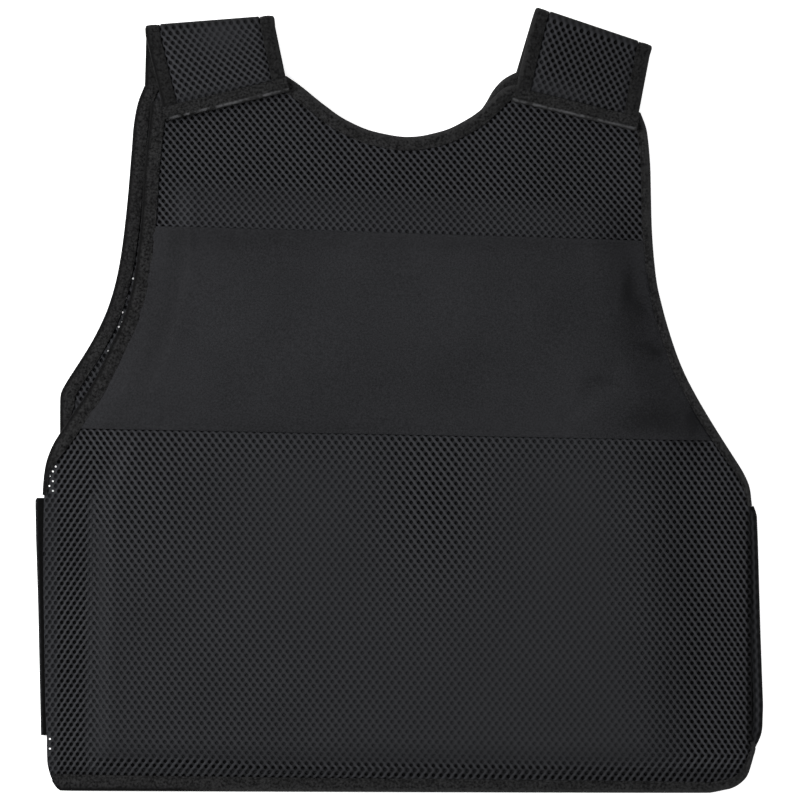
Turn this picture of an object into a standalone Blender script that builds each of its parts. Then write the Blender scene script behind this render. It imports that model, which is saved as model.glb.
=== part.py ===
"""Stab vest, lying flat on its back panel with its shoulder straps folded to the front.

Metres, +Z up. X runs across the vest from its middle, Y runs up the vest towards the neck,
and Z is its thickness. The back panel lies on the ground at z = 0, with the front on it.
"""
import bisect
import math
from collections import namedtuple

import bmesh
import bpy
from mathutils import Vector

# Cloth, tape and the gaps between pieces
GAP = 0.0003
NET = 0.0020                      # net cloth of a panel, pressed flat at its edge
TAPE = 0.0009                     # binding tape
BAND = 0.0010                     # woven cloth of the chest band
WING = 0.0020                     # net cloth of a side wing
EDGE = GAP + TAPE                 # how far a bound edge stands out past its cloth
HALF_BOUND = NET / 2 + EDGE       # half the thickness of a bound edge
LEAST_TAPE = 0.0018               # narrowest face of a tape, where it turns under

# Heights above the ground
BACK_EDGE_Z = HALF_BOUND
FRONT_EDGE_Z = 3 * HALF_BOUND + GAP
STRAP_Z = 5 * HALF_BOUND + 2 * GAP
BACK_PAD_TOP = 0.0084
FRONT_PAD_BOTTOM = 0.0089
FRONT_PAD_TOP = 0.0173
PAD_SLOPE = 0.016                 # width of the slope round the padding
PAD_BOTTOM = -0.2469
PAD_TOP = 0.1387
PAD_TOP_FALL = 0.0556             # the padding's top edge falls to the right
BACK_PAD_INSET = 0.008            # the back's padding is this much smaller all round
UNDER_PAD_EASE = -0.004           # the front's underside starts to rise before its top

# Tapes, as seen from above with the fold at their outer edge
NECK_TAPE = 0.0094
BACK_NECK_TAPE = 0.0100
STRAP_TAPE = 0.0098
HEM_TAPE = 0.0112
HEM_TAPE_RIGHT_END = 0.0071
HEM_TAPE_LEFT_TIP = 0.0060
HEM_TAPE_RIGHT_TIP = 0.0032
MARGIN_PAST_TAPE = 0.0010         # flat cloth past a tape's inner edge
LEAST_MARGIN = 0.0078

# Hems, their round corners, and how much a row of cloth falls to the right
FRONT_HEM = -0.2625
BACK_HEM = -0.2590
HEM_FALL = 0.003
BAND_BOTTOM_FALL = 0.018
BAND_TOP_FALL = 0.022
BAND_BOTTOM = -0.0231
BAND_TOP = 0.1116

Side = namedtuple("Side", "up left left_tape right right_tape")
Point = namedtuple("Point", "across up")
PadSide = namedtuple("PadSide", "up left right")
Corner = namedtuple("Corner", "height inset")
WingRow = namedtuple("WingRow", "up outside")
Panel = namedtuple("Panel", "sides neck shoulders rows hem corners fall neck_tape "
                            "hem_tape_narrows edge_z")

FRONT_SIDES = [
    Side(-0.2625, -0.2384, 0.0000, 0.2385, 0.0032),
    Side(-0.2371, -0.2384, 0.0000, 0.2385, 0.0032),
    Side(-0.2345, -0.2368, 0.0000, 0.2384, 0.0030),
    Side(-0.2275, -0.2366, 0.0000, 0.2374, 0.0026),
    Side(-0.2114, -0.2374, 0.0000, 0.2360, 0.0000),
    Side(-0.1477, -0.2385, 0.0000, 0.2353, 0.0000),
    Side(-0.0780, -0.2396, 0.0000, 0.2359, 0.0000),
    Side(-0.0673, -0.2397, 0.0032, 0.2359, 0.0032),
    Side(-0.0539, -0.2390, 0.0036, 0.2328, 0.0046),
    Side(-0.0446, -0.2377, 0.0052, 0.2275, 0.0052),
    Side(-0.0338, -0.2346, 0.0086, 0.2208, 0.0058),
    Side(-0.0245, -0.2291, 0.0102, 0.2148, 0.0062),
    Side(-0.0104, -0.2204, 0.0104, 0.2061, 0.0065),
    Side(0.0023, -0.2114, 0.0104, 0.1987, 0.0065),
    Side(0.0171, -0.2030, 0.0104, 0.1910, 0.0065),
    Side(0.0318, -0.1960, 0.0104, 0.1850, 0.0065),
    Side(0.0600, -0.1836, 0.0104, 0.1764, 0.0065),
    Side(0.0827, -0.1781, 0.0104, 0.1715, 0.0065),
    Side(0.1169, -0.1739, 0.0104, 0.1687, 0.0066),
    Side(0.1571, -0.1712, 0.0104, 0.1677, 0.0066),
    Side(0.1839, -0.1683, 0.0104, 0.1647, 0.0066),
    Side(0.2000, -0.1665, 0.0104, 0.1585, 0.0066),
]
FRONT_NECK = [
    Point(-0.0760, 0.2171),
    Point(-0.0673, 0.2111),
    Point(-0.0519, 0.1987),
    Point(-0.0365, 0.1879),
    Point(-0.0164, 0.1797),
    Point(0.0057, 0.1763),
    Point(0.0271, 0.1799),
    Point(0.0446, 0.1879),
    Point(0.0539, 0.1943),
    Point(0.0626, 0.2027),
    Point(0.0673, 0.2074),
    Point(0.0720, 0.2102),
    Point(0.0774, 0.2114),
]
FRONT_SHOULDERS = (Point(-0.1665, 0.2000), Point(0.1611, 0.1926))

# How far a hem's corner is rounded in from the side, by height above the hem
FRONT_CORNER_LEFT = [
    Corner(0.0000, 0.0104),
    Corner(0.0018, 0.0078),
    Corner(0.0040, 0.0060),
    Corner(0.0068, 0.0042),
    Corner(0.0111, 0.0025),
    Corner(0.0168, 0.0010),
    Corner(0.0254, 0.0000),
]
FRONT_CORNER_RIGHT = [
    Corner(0.0000, 0.0310),
    Corner(0.0015, 0.0232),
    Corner(0.0030, 0.0164),
    Corner(0.0062, 0.0107),
    Corner(0.0106, 0.0063),
    Corner(0.0168, 0.0038),
    Corner(0.0224, 0.0023),
    Corner(0.0300, 0.0000),
]
BACK_CORNER = [
    Corner(0.0000, 0.0100),
    Corner(0.0018, 0.0045),
    Corner(0.0050, 0.0014),
    Corner(0.0110, 0.0000),
]

BACK_SIDES = [
    Side(-0.2590, -0.2281, 0.0000, 0.2248, 0.0000),
    Side(-0.0539, -0.2281, 0.0000, 0.2248, 0.0000),
    Side(-0.0419, -0.2281, 0.0000, 0.2234, 0.0080),
    Side(-0.0271, -0.2281, 0.0040, 0.2164, 0.0100),
    Side(-0.0171, -0.2281, 0.0080, 0.2100, 0.0100),
    Side(-0.0037, -0.2281, 0.0100, 0.2020, 0.0100),
    Side(0.0050, -0.2275, 0.0100, 0.1973, 0.0100),
    Side(0.0131, -0.2231, 0.0100, 0.1926, 0.0100),
    Side(0.0265, -0.2144, 0.0100, 0.1863, 0.0100),
    Side(0.0466, -0.2027, 0.0100, 0.1786, 0.0100),
    Side(0.0667, -0.1943, 0.0100, 0.1727, 0.0100),
    Side(0.0868, -0.1891, 0.0100, 0.1687, 0.0100),
    Side(0.1069, -0.1859, 0.0100, 0.1660, 0.0100),
    Side(0.1370, -0.1826, 0.0100, 0.1645, 0.0100),
    Side(0.1685, -0.1800, 0.0100, 0.1638, 0.0100),
    Side(0.1886, -0.1782, 0.0100, 0.1611, 0.0100),
    Side(0.2007, -0.1755, 0.0100, 0.1580, 0.0100),
    Side(0.2107, -0.1715, 0.0100, 0.1571, 0.0100),
]
BACK_NECK = [
    Point(-0.0868, 0.2255),
    Point(-0.0747, 0.2121),
    Point(-0.0586, 0.1990),
    Point(-0.0365, 0.1846),
    Point(-0.0164, 0.1762),
    Point(0.0057, 0.1729),
    Point(0.0271, 0.1755),
    Point(0.0419, 0.1832),
    Point(0.0545, 0.1945),
    Point(0.0589, 0.2025),
    Point(0.0625, 0.2078),
    Point(0.0673, 0.2134),
    Point(0.0714, 0.2166),
    Point(0.0779, 0.2198),
]
BACK_SHOULDERS = (Point(-0.1715, 0.2107), Point(0.1585, 0.1980))

PAD_SIDES = [
    PadSide(-0.2469, -0.2100, 0.1946),
    PadSide(-0.0673, -0.2060, 0.1946),
    PadSide(-0.0271, -0.1926, 0.1826),
    PadSide(0.0023, -0.1806, 0.1712),
    PadSide(0.0399, -0.1658, 0.1611),
    PadSide(0.0801, -0.1564, 0.1531),
    PadSide(0.1404, -0.1538, 0.1477),
]

# Rows of the cloth grids: steps above the hem round its corners, then heights up the vest
FRONT_HEM_STEPS = (0.0, 0.0015, 0.0034, 0.0066, 0.0111, 0.0175, 0.0254)
FRONT_ROWS = (
    -0.2325, -0.2275, -0.2080, -0.1500, -0.1050, -0.0673, -0.0539, -0.0446, -0.0338, BAND_BOTTOM,
    -0.0140, -0.0055, 0.0030, 0.0115, 0.0200, 0.0290, 0.0380, 0.0475, 0.0575, 0.0690, 0.0820,
    0.0960, BAND_TOP,
)
BACK_HEM_STEPS = (0.0, 0.0018, 0.0050, 0.0110)
BACK_ROWS = (
    -0.2330, -0.2000, -0.1550, -0.1100, -0.0620, -0.0440, -0.0345, -0.0271, -0.0171, -0.0037,
    0.0045, 0.0125, 0.0200, 0.0290, 0.0390, 0.0500, 0.0620, 0.0760, 0.0910, 0.1080,
)
YOKE_SHARES = (0.12, 0.24, 0.36, 0.5, 0.67, 0.84, 1.0)  # rows between the band and the yoke's edge
SHOULDER_SHARES = (0.16, 0.35, 0.55, 0.77)                  # columns across a shoulder
NECK_COLUMNS = 20
NECK_CROWDING = 0.45                                 # columns are closer at the neck's ends

# Side wings: they run out under the front's side edge, fold, and lie under the back
WING_UPPER_Z = FRONT_EDGE_Z - HALF_BOUND - GAP - WING / 2
WING_LIFT = WING + GAP
WING_LIFT_FULL = (-0.2330, -0.0620)                  # heights between which the back is lifted
WING_LIFT_FADE_DOWN = 0.0150
WING_LIFT_FADE_UP = 0.0180
WING_LIFT_WIDE = 0.0760                              # lifted this far in from the back's side
WING_LIFT_CLEAR = 0.1070                             # and flat again from here
WING_TIP = 0.0680
WING_FOLD_STEPS = 8
LEFT_WING = [
    WingRow(-0.2248, -0.2409),
    WingRow(-0.1879, -0.2417),
    WingRow(-0.1343, -0.2429),
    WingRow(-0.0941, -0.2442),
    WingRow(-0.0675, -0.2447),
    WingRow(-0.0656, -0.2437),
]
RIGHT_WING = [
    WingRow(-0.2330, 0.2384),
    WingRow(-0.2275, 0.2413),
    WingRow(-0.2214, 0.2431),
    WingRow(-0.2047, 0.2436),
    WingRow(-0.1544, 0.2418),
    WingRow(-0.0941, 0.2401),
    WingRow(-0.0765, 0.2394),
    WingRow(-0.0727, 0.2376),
]

# Shoulder straps, as the corners of their finished outline at the root, the fold and the end
StrapLine = namedtuple("StrapLine", "left right")
Strap = namedtuple("Strap", "root fold end")
LEFT_STRAP = Strap(
    root=StrapLine(Point(-0.1713, 0.2107), Point(-0.0868, 0.2255)),
    fold=StrapLine(Point(-0.1709, 0.2510), Point(-0.0842, 0.2577)),
    end=StrapLine(Point(-0.1564, 0.1863), Point(-0.0744, 0.2062)),
)
RIGHT_STRAP = Strap(
    root=StrapLine(Point(0.0779, 0.2198), Point(0.1585, 0.1980)),
    fold=StrapLine(Point(0.0911, 0.2635), Point(0.1694, 0.2372)),
    end=StrapLine(Point(0.0754, 0.1995), Point(0.1575, 0.1799)),
)
STRAP_SEAM = 0.0006                                  # the strap's root stops short of the back
STRAP_FOLD_STEPS = 8
STRAP_SLOPE = 0.0025                                 # from the flat margin to the padded middle

Finish = namedtuple("Finish", "colour roughness")
FINISHES = {
    "net": Finish((0.017, 0.017, 0.020, 1.0), 0.80),
    "woven": Finish((0.022, 0.022, 0.026, 1.0), 0.75),
    "tape": Finish((0.019, 0.019, 0.021, 1.0), 0.65),
}
UP = Vector((0.0, 0.0, 1.0))


def clear_scene():
    for thing in list(bpy.data.objects):
        bpy.data.objects.remove(thing)


def smooth(knots, values, at):
    """A curve through the values at the knots, with no overshoot, read at one place."""
    last = len(knots) - 1
    at = min(max(at, knots[0]), knots[last])
    k = min(bisect.bisect_right(knots, at) - 1, last - 1)
    slopes = [(values[i + 1] - values[i]) / (knots[i + 1] - knots[i]) for i in range(last)]

    def tangent(i):
        before = slopes[max(i - 1, 0)]
        after = slopes[min(i, last - 1)]
        return 0.0 if before * after <= 0 else 2 * before * after / (before + after)

    step = knots[k + 1] - knots[k]
    t = (at - knots[k]) / step
    return (values[k] * (1 + 2 * t) * (1 - t) ** 2
            + tangent(k) * step * t * (1 - t) ** 2
            + values[k + 1] * t * t * (3 - 2 * t)
            + tangent(k + 1) * step * t * t * (t - 1))


def column_of(table, field):
    return [getattr(row, field) for row in table]


def read_table(table, key, field, at):
    return smooth(column_of(table, key), column_of(table, field), at)


def lean(table, field, up):
    """How much longer than its square width a slanted edge's margin is, measured across."""
    reach = 0.002
    slope = (read_table(table, "up", field, up + reach)
             - read_table(table, "up", field, up - reach)) / (2 * reach)
    return min(math.hypot(1.0, slope), 2.2)


def ease(value):
    """0 below 0, 1 above 1, and a smooth step between them."""
    t = min(max(value, 0.0), 1.0)
    return t * t * (3 - 2 * t)


def blend(low, high, share):
    return low + (high - low) * share


def margin_beside(tape):
    return max(tape + MARGIN_PAST_TAPE, LEAST_MARGIN)


def top_outline(panel):
    """The top edge's places from left to right, and the columns where the neck begins and ends."""
    left, right = [Vector(corner) for corner in panel.shoulders]
    neck_left, neck_right = Vector(panel.neck[0]), Vector(panel.neck[-1])
    inset = margin_beside(panel.sides[-1].left_tape)
    first = left + (neck_left - left).normalized() * inset
    inset = margin_beside(panel.sides[-1].right_tape)
    last = right + (neck_right - right).normalized() * inset
    places = [left, first]
    places += [first.lerp(neck_left, share) for share in SHOULDER_SHARES]
    begin = len(places)
    for step in range(NECK_COLUMNS + 1):
        even = step / NECK_COLUMNS
        crowded = even - NECK_CROWDING * math.sin(2 * math.pi * even) / (2 * math.pi)
        across = blend(neck_left.x, neck_right.x, crowded)
        places.append(Vector((across, read_table(panel.neck, "across", "up", across))))
    end = len(places) - 1
    places += [last.lerp(neck_right, share) for share in reversed(SHOULDER_SHARES)]
    places += [last, right]
    return places, begin, end


def side_place(panel, field, up, height):
    """A side's finished outline at a height, with its corner's rounding near the hem."""
    corner = panel.corners[0 if field == "left" else 1]
    turn = read_table(corner, "height", "inset", height)
    across = read_table(panel.sides, "up", field, up)
    return Vector((across + turn if field == "left" else across - turn, up))


def cloth_row(panel, up, shares):
    """Places along one row of the body, from side to side."""
    height = up - panel.hem
    fall = panel.fall(up)
    left = side_place(panel, "left", up - fall * panel.sides[0].left, height)
    right = side_place(panel, "right", up - fall * panel.sides[0].right, height)
    return margin_row(panel, left, right, shares)


def margin_row(panel, left, right, shares):
    row = [left]
    inner = []
    for side, field, sign in ((left, "left", 1), (right, "right", -1)):
        tape = read_table(panel.sides, "up", field + "_tape", side.y)
        reach = margin_beside(tape) * lean(panel.sides, field, side.y)
        inner.append(side.x + sign * reach)
    for share in shares:
        across = blend(inner[0], inner[1], share)
        row.append(left.lerp(right, (across - left.x) / (right.x - left.x)))
    row.append(right)
    return row


def panel_plan(panel):
    """The panel's finished plan as rows of places, and where its neck begins and ends."""
    top, begin, end = top_outline(panel)
    shares = [(place.x - top[1].x) / (top[-2].x - top[1].x) for place in top[1:-1]]
    plan = [cloth_row(panel, up, shares) for up in panel.rows]
    base = plan[-1]
    slopes = [(after.y - before.y) / (after.x - before.x)
              for before, after in zip(top[:-2], top[2:])]
    drops = [0.0] + [margin_beside(panel.neck_tape) * math.hypot(1.0, s) for s in slopes] + [0.0]
    drops[0] = drops[-1] = margin_beside(panel.neck_tape)
    for part in YOKE_SHARES:
        heights = [blend(low.y, high.y - drop, part) for low, high, drop in zip(base, top, drops)]
        left = side_place(panel, "left", heights[0], 1.0)
        right = side_place(panel, "right", heights[-1], 1.0)
        row = margin_row(panel, left, right, shares)
        for place, height in zip(row[1:-1], heights[1:-1]):
            place.y = height
        plan.append(row)
    plan.append(top)
    return plan, begin, end


def edge_order(plan):
    """Grid places round the plan's edge, anticlockwise from the left end of the hem."""
    top = len(plan) - 1
    last = len(plan[0]) - 1
    order = [(0, column) for column in range(last)]
    order += [(row, last) for row in range(top)]
    order += [(top, column) for column in range(last, 0, -1)]
    order += [(row, 0) for row in range(top, 0, -1)]
    return order


def left_normal(start, end):
    way = (end - start).normalized()
    return Vector((-way.y, way.x))


def inward_vectors(plan, begin, end):
    """At each edge place, the step inwards that is 1 away from both of its edges."""
    order = edge_order(plan)
    inward = {}
    for index, place in enumerate(order):
        here = plan[place[0]][place[1]]
        before = plan[order[index - 1][0]][order[index - 1][1]]
        after_place = order[(index + 1) % len(order)]
        after = plan[after_place[0]][after_place[1]]
        first, second = left_normal(before, here), left_normal(here, after)
        inward[place] = (first + second) / (1 + first.dot(second))
    top = len(plan) - 1
    last = len(plan[0]) - 1
    crown = plan[top]
    bound_to_bare = [
        ((top, 0), crown[0], plan[top - 1][0], crown[1]),
        ((top, begin), crown[begin + 1], crown[begin], crown[begin - 1]),
        ((top, end), crown[end], crown[end - 1], crown[end + 1]),
        ((top, last), plan[top - 1][last], crown[last], crown[last - 1]),
    ]
    for place, start, finish, bare in bound_to_bare:
        here = plan[place[0]][place[1]]
        along = (bare - here).normalized()
        inward[place] = along / along.dot(left_normal(start, finish))
    return inward


def tape_widths(panel, plan, begin, end):
    """The tape's width at each edge place of a panel, with 0 where the edge is bare."""
    widths = {}
    top = len(plan) - 1
    last = len(plan[0]) - 1
    for column, place in enumerate(plan[0]):
        narrow = ease((place.x - 0.12) / 0.08) if panel.hem_tape_narrows else 0.0
        widths[(0, column)] = blend(HEM_TAPE, HEM_TAPE_RIGHT_END, narrow)
    tips = ((0, "left", HEM_TAPE, HEM_TAPE_LEFT_TIP), (last, "right", HEM_TAPE_RIGHT_END,
                                                       HEM_TAPE_RIGHT_TIP))
    for column, field, wide, tip in tips:
        radius = panel.corners[0 if field == "left" else 1][-1].height
        for row in range(1, top + 1):
            height = panel.rows[row] - panel.hem if row < len(panel.rows) else 1.0
            if height <= radius + GAP:
                widths[(row, column)] = blend(wide, tip, height / radius)
            else:
                up = plan[row][column].y
                widths[(row, column)] = read_table(panel.sides, "up", field + "_tape", up)
    for column in range(1, last):
        bound = begin <= column <= end
        widths[(top, column)] = panel.neck_tape if bound else 0.0
    return widths


def pad_share(place, inset):
    """0 off the padding, 1 on it, for padding that is smaller all round by the inset."""
    up = place.y
    left = read_table(PAD_SIDES, "up", "left", up)
    right = read_table(PAD_SIDES, "up", "right", up)
    reaches = (
        (place.x - left) / lean(PAD_SIDES, "left", up),
        (right - place.x) / lean(PAD_SIDES, "right", up),
        up - PAD_BOTTOM,
        PAD_TOP - PAD_TOP_FALL * place.x - up,
    )
    share = 1.0
    for reach in reaches:
        share *= ease((reach - inset) / PAD_SLOPE)
    return share


def wing_lift(place):
    """How far the back panel is held off the ground by the wing that lies under it."""
    low, high = WING_LIFT_FULL
    up_share = (ease((place.y - low) / WING_LIFT_FADE_DOWN + 1)
                * ease((high - place.y) / WING_LIFT_FADE_UP + 1))
    from_side = min(place.x - BACK_SIDES[0].left, BACK_SIDES[0].right - place.x)
    across_share = ease((WING_LIFT_CLEAR - from_side) / (WING_LIFT_CLEAR - WING_LIFT_WIDE))
    return WING_LIFT * up_share * across_share


def front_heights(place):
    low = blend(FRONT_EDGE_Z - NET / 2, FRONT_PAD_BOTTOM, pad_share(place, UNDER_PAD_EASE))
    high = blend(FRONT_EDGE_Z + NET / 2, FRONT_PAD_TOP, pad_share(place, 0.0))
    return low, high


def back_heights(place):
    share = pad_share(place, BACK_PAD_INSET)
    low = max(blend(BACK_EDGE_Z - NET / 2, 0.0, share), wing_lift(place))
    high = max(blend(BACK_EDGE_Z + NET / 2, BACK_PAD_TOP, share), low + NET)
    return low, high


def give_finish(thing, kind):
    finish = FINISHES[kind]
    material = bpy.data.materials.new(thing.name + "_" + kind)
    material.use_nodes = True
    shader = material.node_tree.nodes["Principled BSDF"]
    shader.inputs["Base Color"].default_value = finish.colour
    shader.inputs["Roughness"].default_value = finish.roughness
    shader.inputs["Metallic"].default_value = 0.0
    material.diffuse_color = finish.colour
    thing.data.materials.append(material)


def add_object(name, bm, kind):
    bmesh.ops.recalc_face_normals(bm, faces=bm.faces)
    if bm.calc_volume(signed=True) < 0:
        bmesh.ops.reverse_faces(bm, faces=bm.faces)
    mesh = bpy.data.meshes.new(name)
    bm.to_mesh(mesh)
    bm.free()
    mesh.shade_smooth()
    mesh.set_sharp_from_angle(angle=math.radians(40))
    thing = bpy.data.objects.new(name, mesh)
    bpy.context.scene.collection.objects.link(thing)
    give_finish(thing, kind)
    return thing


def slab(name, rows, kind):
    """A sheet of cloth from rows of (underside, top side) places: a grid, extruded once."""
    columns = len(rows[0])
    bm = bmesh.new()
    layer = bm.verts.layers.int.new("place")
    bmesh.ops.create_grid(bm, x_segments=columns - 1, y_segments=len(rows) - 1, size=1.0)
    bm.verts.ensure_lookup_table()
    for index, vertex in enumerate(bm.verts):
        vertex[layer] = index
    lower = list(bm.verts)
    made = bmesh.ops.extrude_face_region(bm, geom=list(bm.faces))
    upper = [item for item in made["geom"] if isinstance(item, bmesh.types.BMVert)]
    for side, vertices in enumerate((lower, upper)):
        for vertex in vertices:
            vertex.co = rows[vertex[layer] // columns][vertex[layer] % columns][side]
    return add_object(name, bm, kind)


def tape_profile(width):
    """A folded tape's section, as (reach inwards, height from the middle)."""
    face = max(width - EDGE, LEAST_TAPE)
    inner = NET / 2 + GAP
    return [
        (face, HALF_BOUND), (0.0, HALF_BOUND), (-EDGE, 0.0), (0.0, -HALF_BOUND),
        (face, -HALF_BOUND), (face, -inner), (-GAP, -inner), (-GAP, inner), (face, inner),
    ]


def folded_tape(name, stations, kind):
    """Binding tape along an edge. A station is (edge place, inward, normal, tape width)."""
    bm = bmesh.new()
    cap = None
    for edge, inward, normal, width in stations:
        ring = [edge + inward * reach + normal * height for reach, height in tape_profile(width)]
        if cap is None:
            cap = bm.faces.new([bm.verts.new(place) for place in ring])
            continue
        made = bmesh.ops.extrude_face_region(bm, geom=[cap] + list(cap.edges))
        cap = next(item for item in made["geom"] if isinstance(item, bmesh.types.BMFace))
        for vertex, place in zip(cap.verts, ring):
            vertex.co = place
    return add_object(name, bm, kind)


def raised(place, height):
    return Vector((place.x, place.y, height))


def build_panel(name, panel, heights):
    """One padded panel. Gives back its cloth grid's (underside, top) places and its edges."""
    plan, begin, end = panel_plan(panel)
    inward = inward_vectors(plan, begin, end)
    widths = tape_widths(panel, plan, begin, end)
    edges = {}
    for (row, column), width in widths.items():
        place = plan[row][column]
        if width > 0:
            place = place + inward[(row, column)] * EDGE
            edges[(row, column)] = (raised(place, panel.edge_z), inward[(row, column)].to_3d(),
                                    UP, width)
            plan[row][column] = place
    rows = []
    for line in plan:
        rows.append([])
        for place in line:
            low, high = heights(place)
            rows[-1].append((raised(place, low), raised(place, high)))
    slab(name, rows, "net")
    return rows, edges, begin, end


def build_bindings(side_name, panel, rows, edges, begin, end):
    """The tapes on one panel's hem, armholes and neck."""
    top = len(rows) - 1
    last = len(rows[0]) - 1
    bare_left, bare_right = [next(row for row in range(1, top) if (row, column) not in edges)
                             for column in (0, last)]
    hem = [(row, 0) for row in range(bare_left, 0, -1)]
    hem += [(0, column) for column in range(last + 1)]
    hem += [(row, last) for row in range(1, bare_right)]
    routes = {
        "hem_binding": hem,
        "armhole_binding_left": [(row, 0) for row in range(bare_left, top + 1)],
        "armhole_binding_right": [(row, last) for row in range(bare_right, top + 1)],
        "neck_binding": [(top, column) for column in range(begin, end + 1)],
    }
    for tape_name, route in routes.items():
        stations = [edges[place] for place in route if place in edges]
        folded_tape(side_name + "_" + tape_name, stations, "tape")


def front_fall(up):
    share = (up - FRONT_HEM) / (BAND_BOTTOM - FRONT_HEM)
    return min(blend(HEM_FALL, BAND_BOTTOM_FALL, share), BAND_TOP_FALL)


def build_front():
    rows = tuple(FRONT_HEM + step for step in FRONT_HEM_STEPS) + FRONT_ROWS
    panel = Panel(FRONT_SIDES, FRONT_NECK, FRONT_SHOULDERS, rows, FRONT_HEM,
                  (FRONT_CORNER_LEFT, FRONT_CORNER_RIGHT), front_fall, NECK_TAPE, True,
                  FRONT_EDGE_Z)
    grid, edges, begin, end = build_panel("front_panel", panel, front_heights)
    build_bindings("front", panel, grid, edges, begin, end)
    build_chest_band(grid, rows)


def build_chest_band(grid, rows):
    """Woven band laid on the front's net from one armhole tape to the other."""
    low, high = rows.index(BAND_BOTTOM), rows.index(BAND_TOP)
    band = []
    for line in grid[low:high + 1]:
        band.append([(top + UP * GAP, top + UP * (GAP + BAND)) for _, top in line[1:-1]])
    slab("chest_band", band, "woven")


def level(up):
    return 0.0


def build_back():
    rows = tuple(BACK_HEM + step for step in BACK_HEM_STEPS) + BACK_ROWS
    panel = Panel(BACK_SIDES, BACK_NECK, BACK_SHOULDERS, rows, BACK_HEM,
                  (BACK_CORNER, BACK_CORNER), level, BACK_NECK_TAPE, False, BACK_EDGE_Z)
    grid, edges, begin, end = build_panel("back_panel", panel, back_heights)
    build_bindings("back", panel, grid, edges, begin, end)


def wing_section(outside, root, tip, up):
    """A wing's section at one height, from its root over the fold to its tip."""
    way = 1 if outside > 0 else -1
    middle_low = WING / 2
    radius = (WING_UPPER_Z - middle_low) / 2
    turn = outside - way * (radius + WING / 2)
    section = [(Vector((root, up, WING_UPPER_Z)), UP)]
    for step in range(WING_FOLD_STEPS + 1):
        angle = math.pi / 2 - math.pi * step / WING_FOLD_STEPS
        normal = Vector((way * math.cos(angle), 0.0, math.sin(angle)))
        centre = Vector((turn, up, middle_low + radius))
        section.append((centre + normal * radius, normal))
    section.append((Vector((blend(turn, tip, 0.5), up, middle_low)), -UP))
    section.append((Vector((tip, up, middle_low)), -UP))
    return [(place - normal * WING / 2, place + normal * WING / 2) for place, normal in section]


def build_wings():
    clear = EDGE + GAP
    back_left, back_right = BACK_SIDES[0].left, BACK_SIDES[0].right
    left = [wing_section(row.outside, back_left - clear, back_left + WING_TIP, row.up)
            for row in LEFT_WING]
    slab("side_wing_left", left, "net")
    right = [wing_section(row.outside, back_right + clear, back_right - WING_TIP, row.up)
             for row in RIGHT_WING]
    slab("side_wing_right", right, "net")


def strap_line_3d(line, height):
    return [raised(Vector(corner), height) for corner in line]


def strap_path(strap):
    """Sections from root to end, as (left place, right place, outward normal)."""
    fold_left, fold_right = strap_line_3d(strap.fold, 0.0)
    along_fold = (fold_right - fold_left).normalized()
    down = Vector((along_fold.y, -along_fold.x, 0.0))
    radius = (STRAP_Z - BACK_EDGE_Z) / 2
    turn_left, turn_right = [corner + down * (radius + HALF_BOUND)
                             for corner in (fold_left, fold_right)]
    path = []
    root = strap_line_3d(strap.root, BACK_EDGE_Z)
    path.append((root[0] - down * STRAP_SEAM, root[1] - down * STRAP_SEAM, -UP))
    for step in range(STRAP_FOLD_STEPS + 1):
        angle = -math.pi / 2 + math.pi * step / STRAP_FOLD_STEPS
        normal = UP * math.sin(angle) - down * math.cos(angle)
        offset = UP * (BACK_EDGE_Z + radius) + normal * radius
        path.append((turn_left + offset, turn_right + offset, normal))
    end = strap_line_3d(strap.end, STRAP_Z)
    last_left, last_right, _ = path[-1]
    face = STRAP_TAPE + MARGIN_PAST_TAPE
    for reach in (face + STRAP_SLOPE, face):
        left = end[0] + (last_left - end[0]).normalized() * reach
        right = end[1] + (last_right - end[1]).normalized() * reach
        path.append((left, right, UP))
    path.append((end[0], end[1], UP))
    return path


def build_strap(side, strap):
    """A padded net strap and the tape folded over its two long edges and its end."""
    path = strap_path(strap)
    end_back = (path[-2][0] - path[-1][0]).normalized()
    face = STRAP_TAPE + MARGIN_PAST_TAPE
    insets = (EDGE, face, face + STRAP_SLOPE)
    rows = []
    for index, (left, right, normal) in enumerate(path):
        across = (right - left).normalized()
        at_end = index >= len(path) - 2
        if index == len(path) - 1:
            left, right = left + end_back * EDGE, right + end_back * EDGE
        places = [left + across * inset for inset in insets]
        places += [right - across * inset for inset in reversed(insets)]
        row = []
        for column, place in enumerate(places):
            flat = at_end or column in (0, 1, 4, 5)
            half = NET / 2 if flat else HALF_BOUND
            row.append((place - normal * half, place + normal * half))
        rows.append(row)
    slab("shoulder_strap_" + side, rows, "net")
    folded_tape("strap_binding_" + side, strap_tape_stations(path, rows), "tape")


def edge_middle(cell):
    return (cell[0] + cell[1]) / 2


def strap_tape_stations(path, rows):
    """Up the strap's left edge from its root, across its end, and back down its right edge."""
    lefts = [edge_middle(row[0]) for row in rows]
    rights = [edge_middle(row[-1]) for row in rows]
    acrosses = [(right - left).normalized() for left, right in zip(lefts, rights)]
    normals = [section[2] for section in path]
    stations = [(place, across, normal, STRAP_TAPE)
                for place, across, normal in zip(lefts[:-1], acrosses, normals)]
    for corner, other, back in ((lefts[-1], rights[-1], lefts[-2]),
                                (rights[-1], lefts[-1], rights[-2])):
        across = (other - corner).normalized()
        along = (back - corner).normalized()
        spread = 1 - across.dot(along) ** 2
        stations.append((corner, (across + along) / math.sqrt(spread), UP, STRAP_TAPE))
    stations += [(place, -across, normal, STRAP_TAPE)
                 for place, across, normal in reversed(list(zip(rights[:-1], acrosses, normals)))]
    return stations


def build():
    clear_scene()
    build_back()
    build_front()
    build_wings()
    build_strap("left", LEFT_STRAP)
    build_strap("right", RIGHT_STRAP)


build()
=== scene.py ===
import math
from collections import namedtuple

import bmesh
import bpy
import numpy as np
from mathutils import Matrix, Vector


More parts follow.
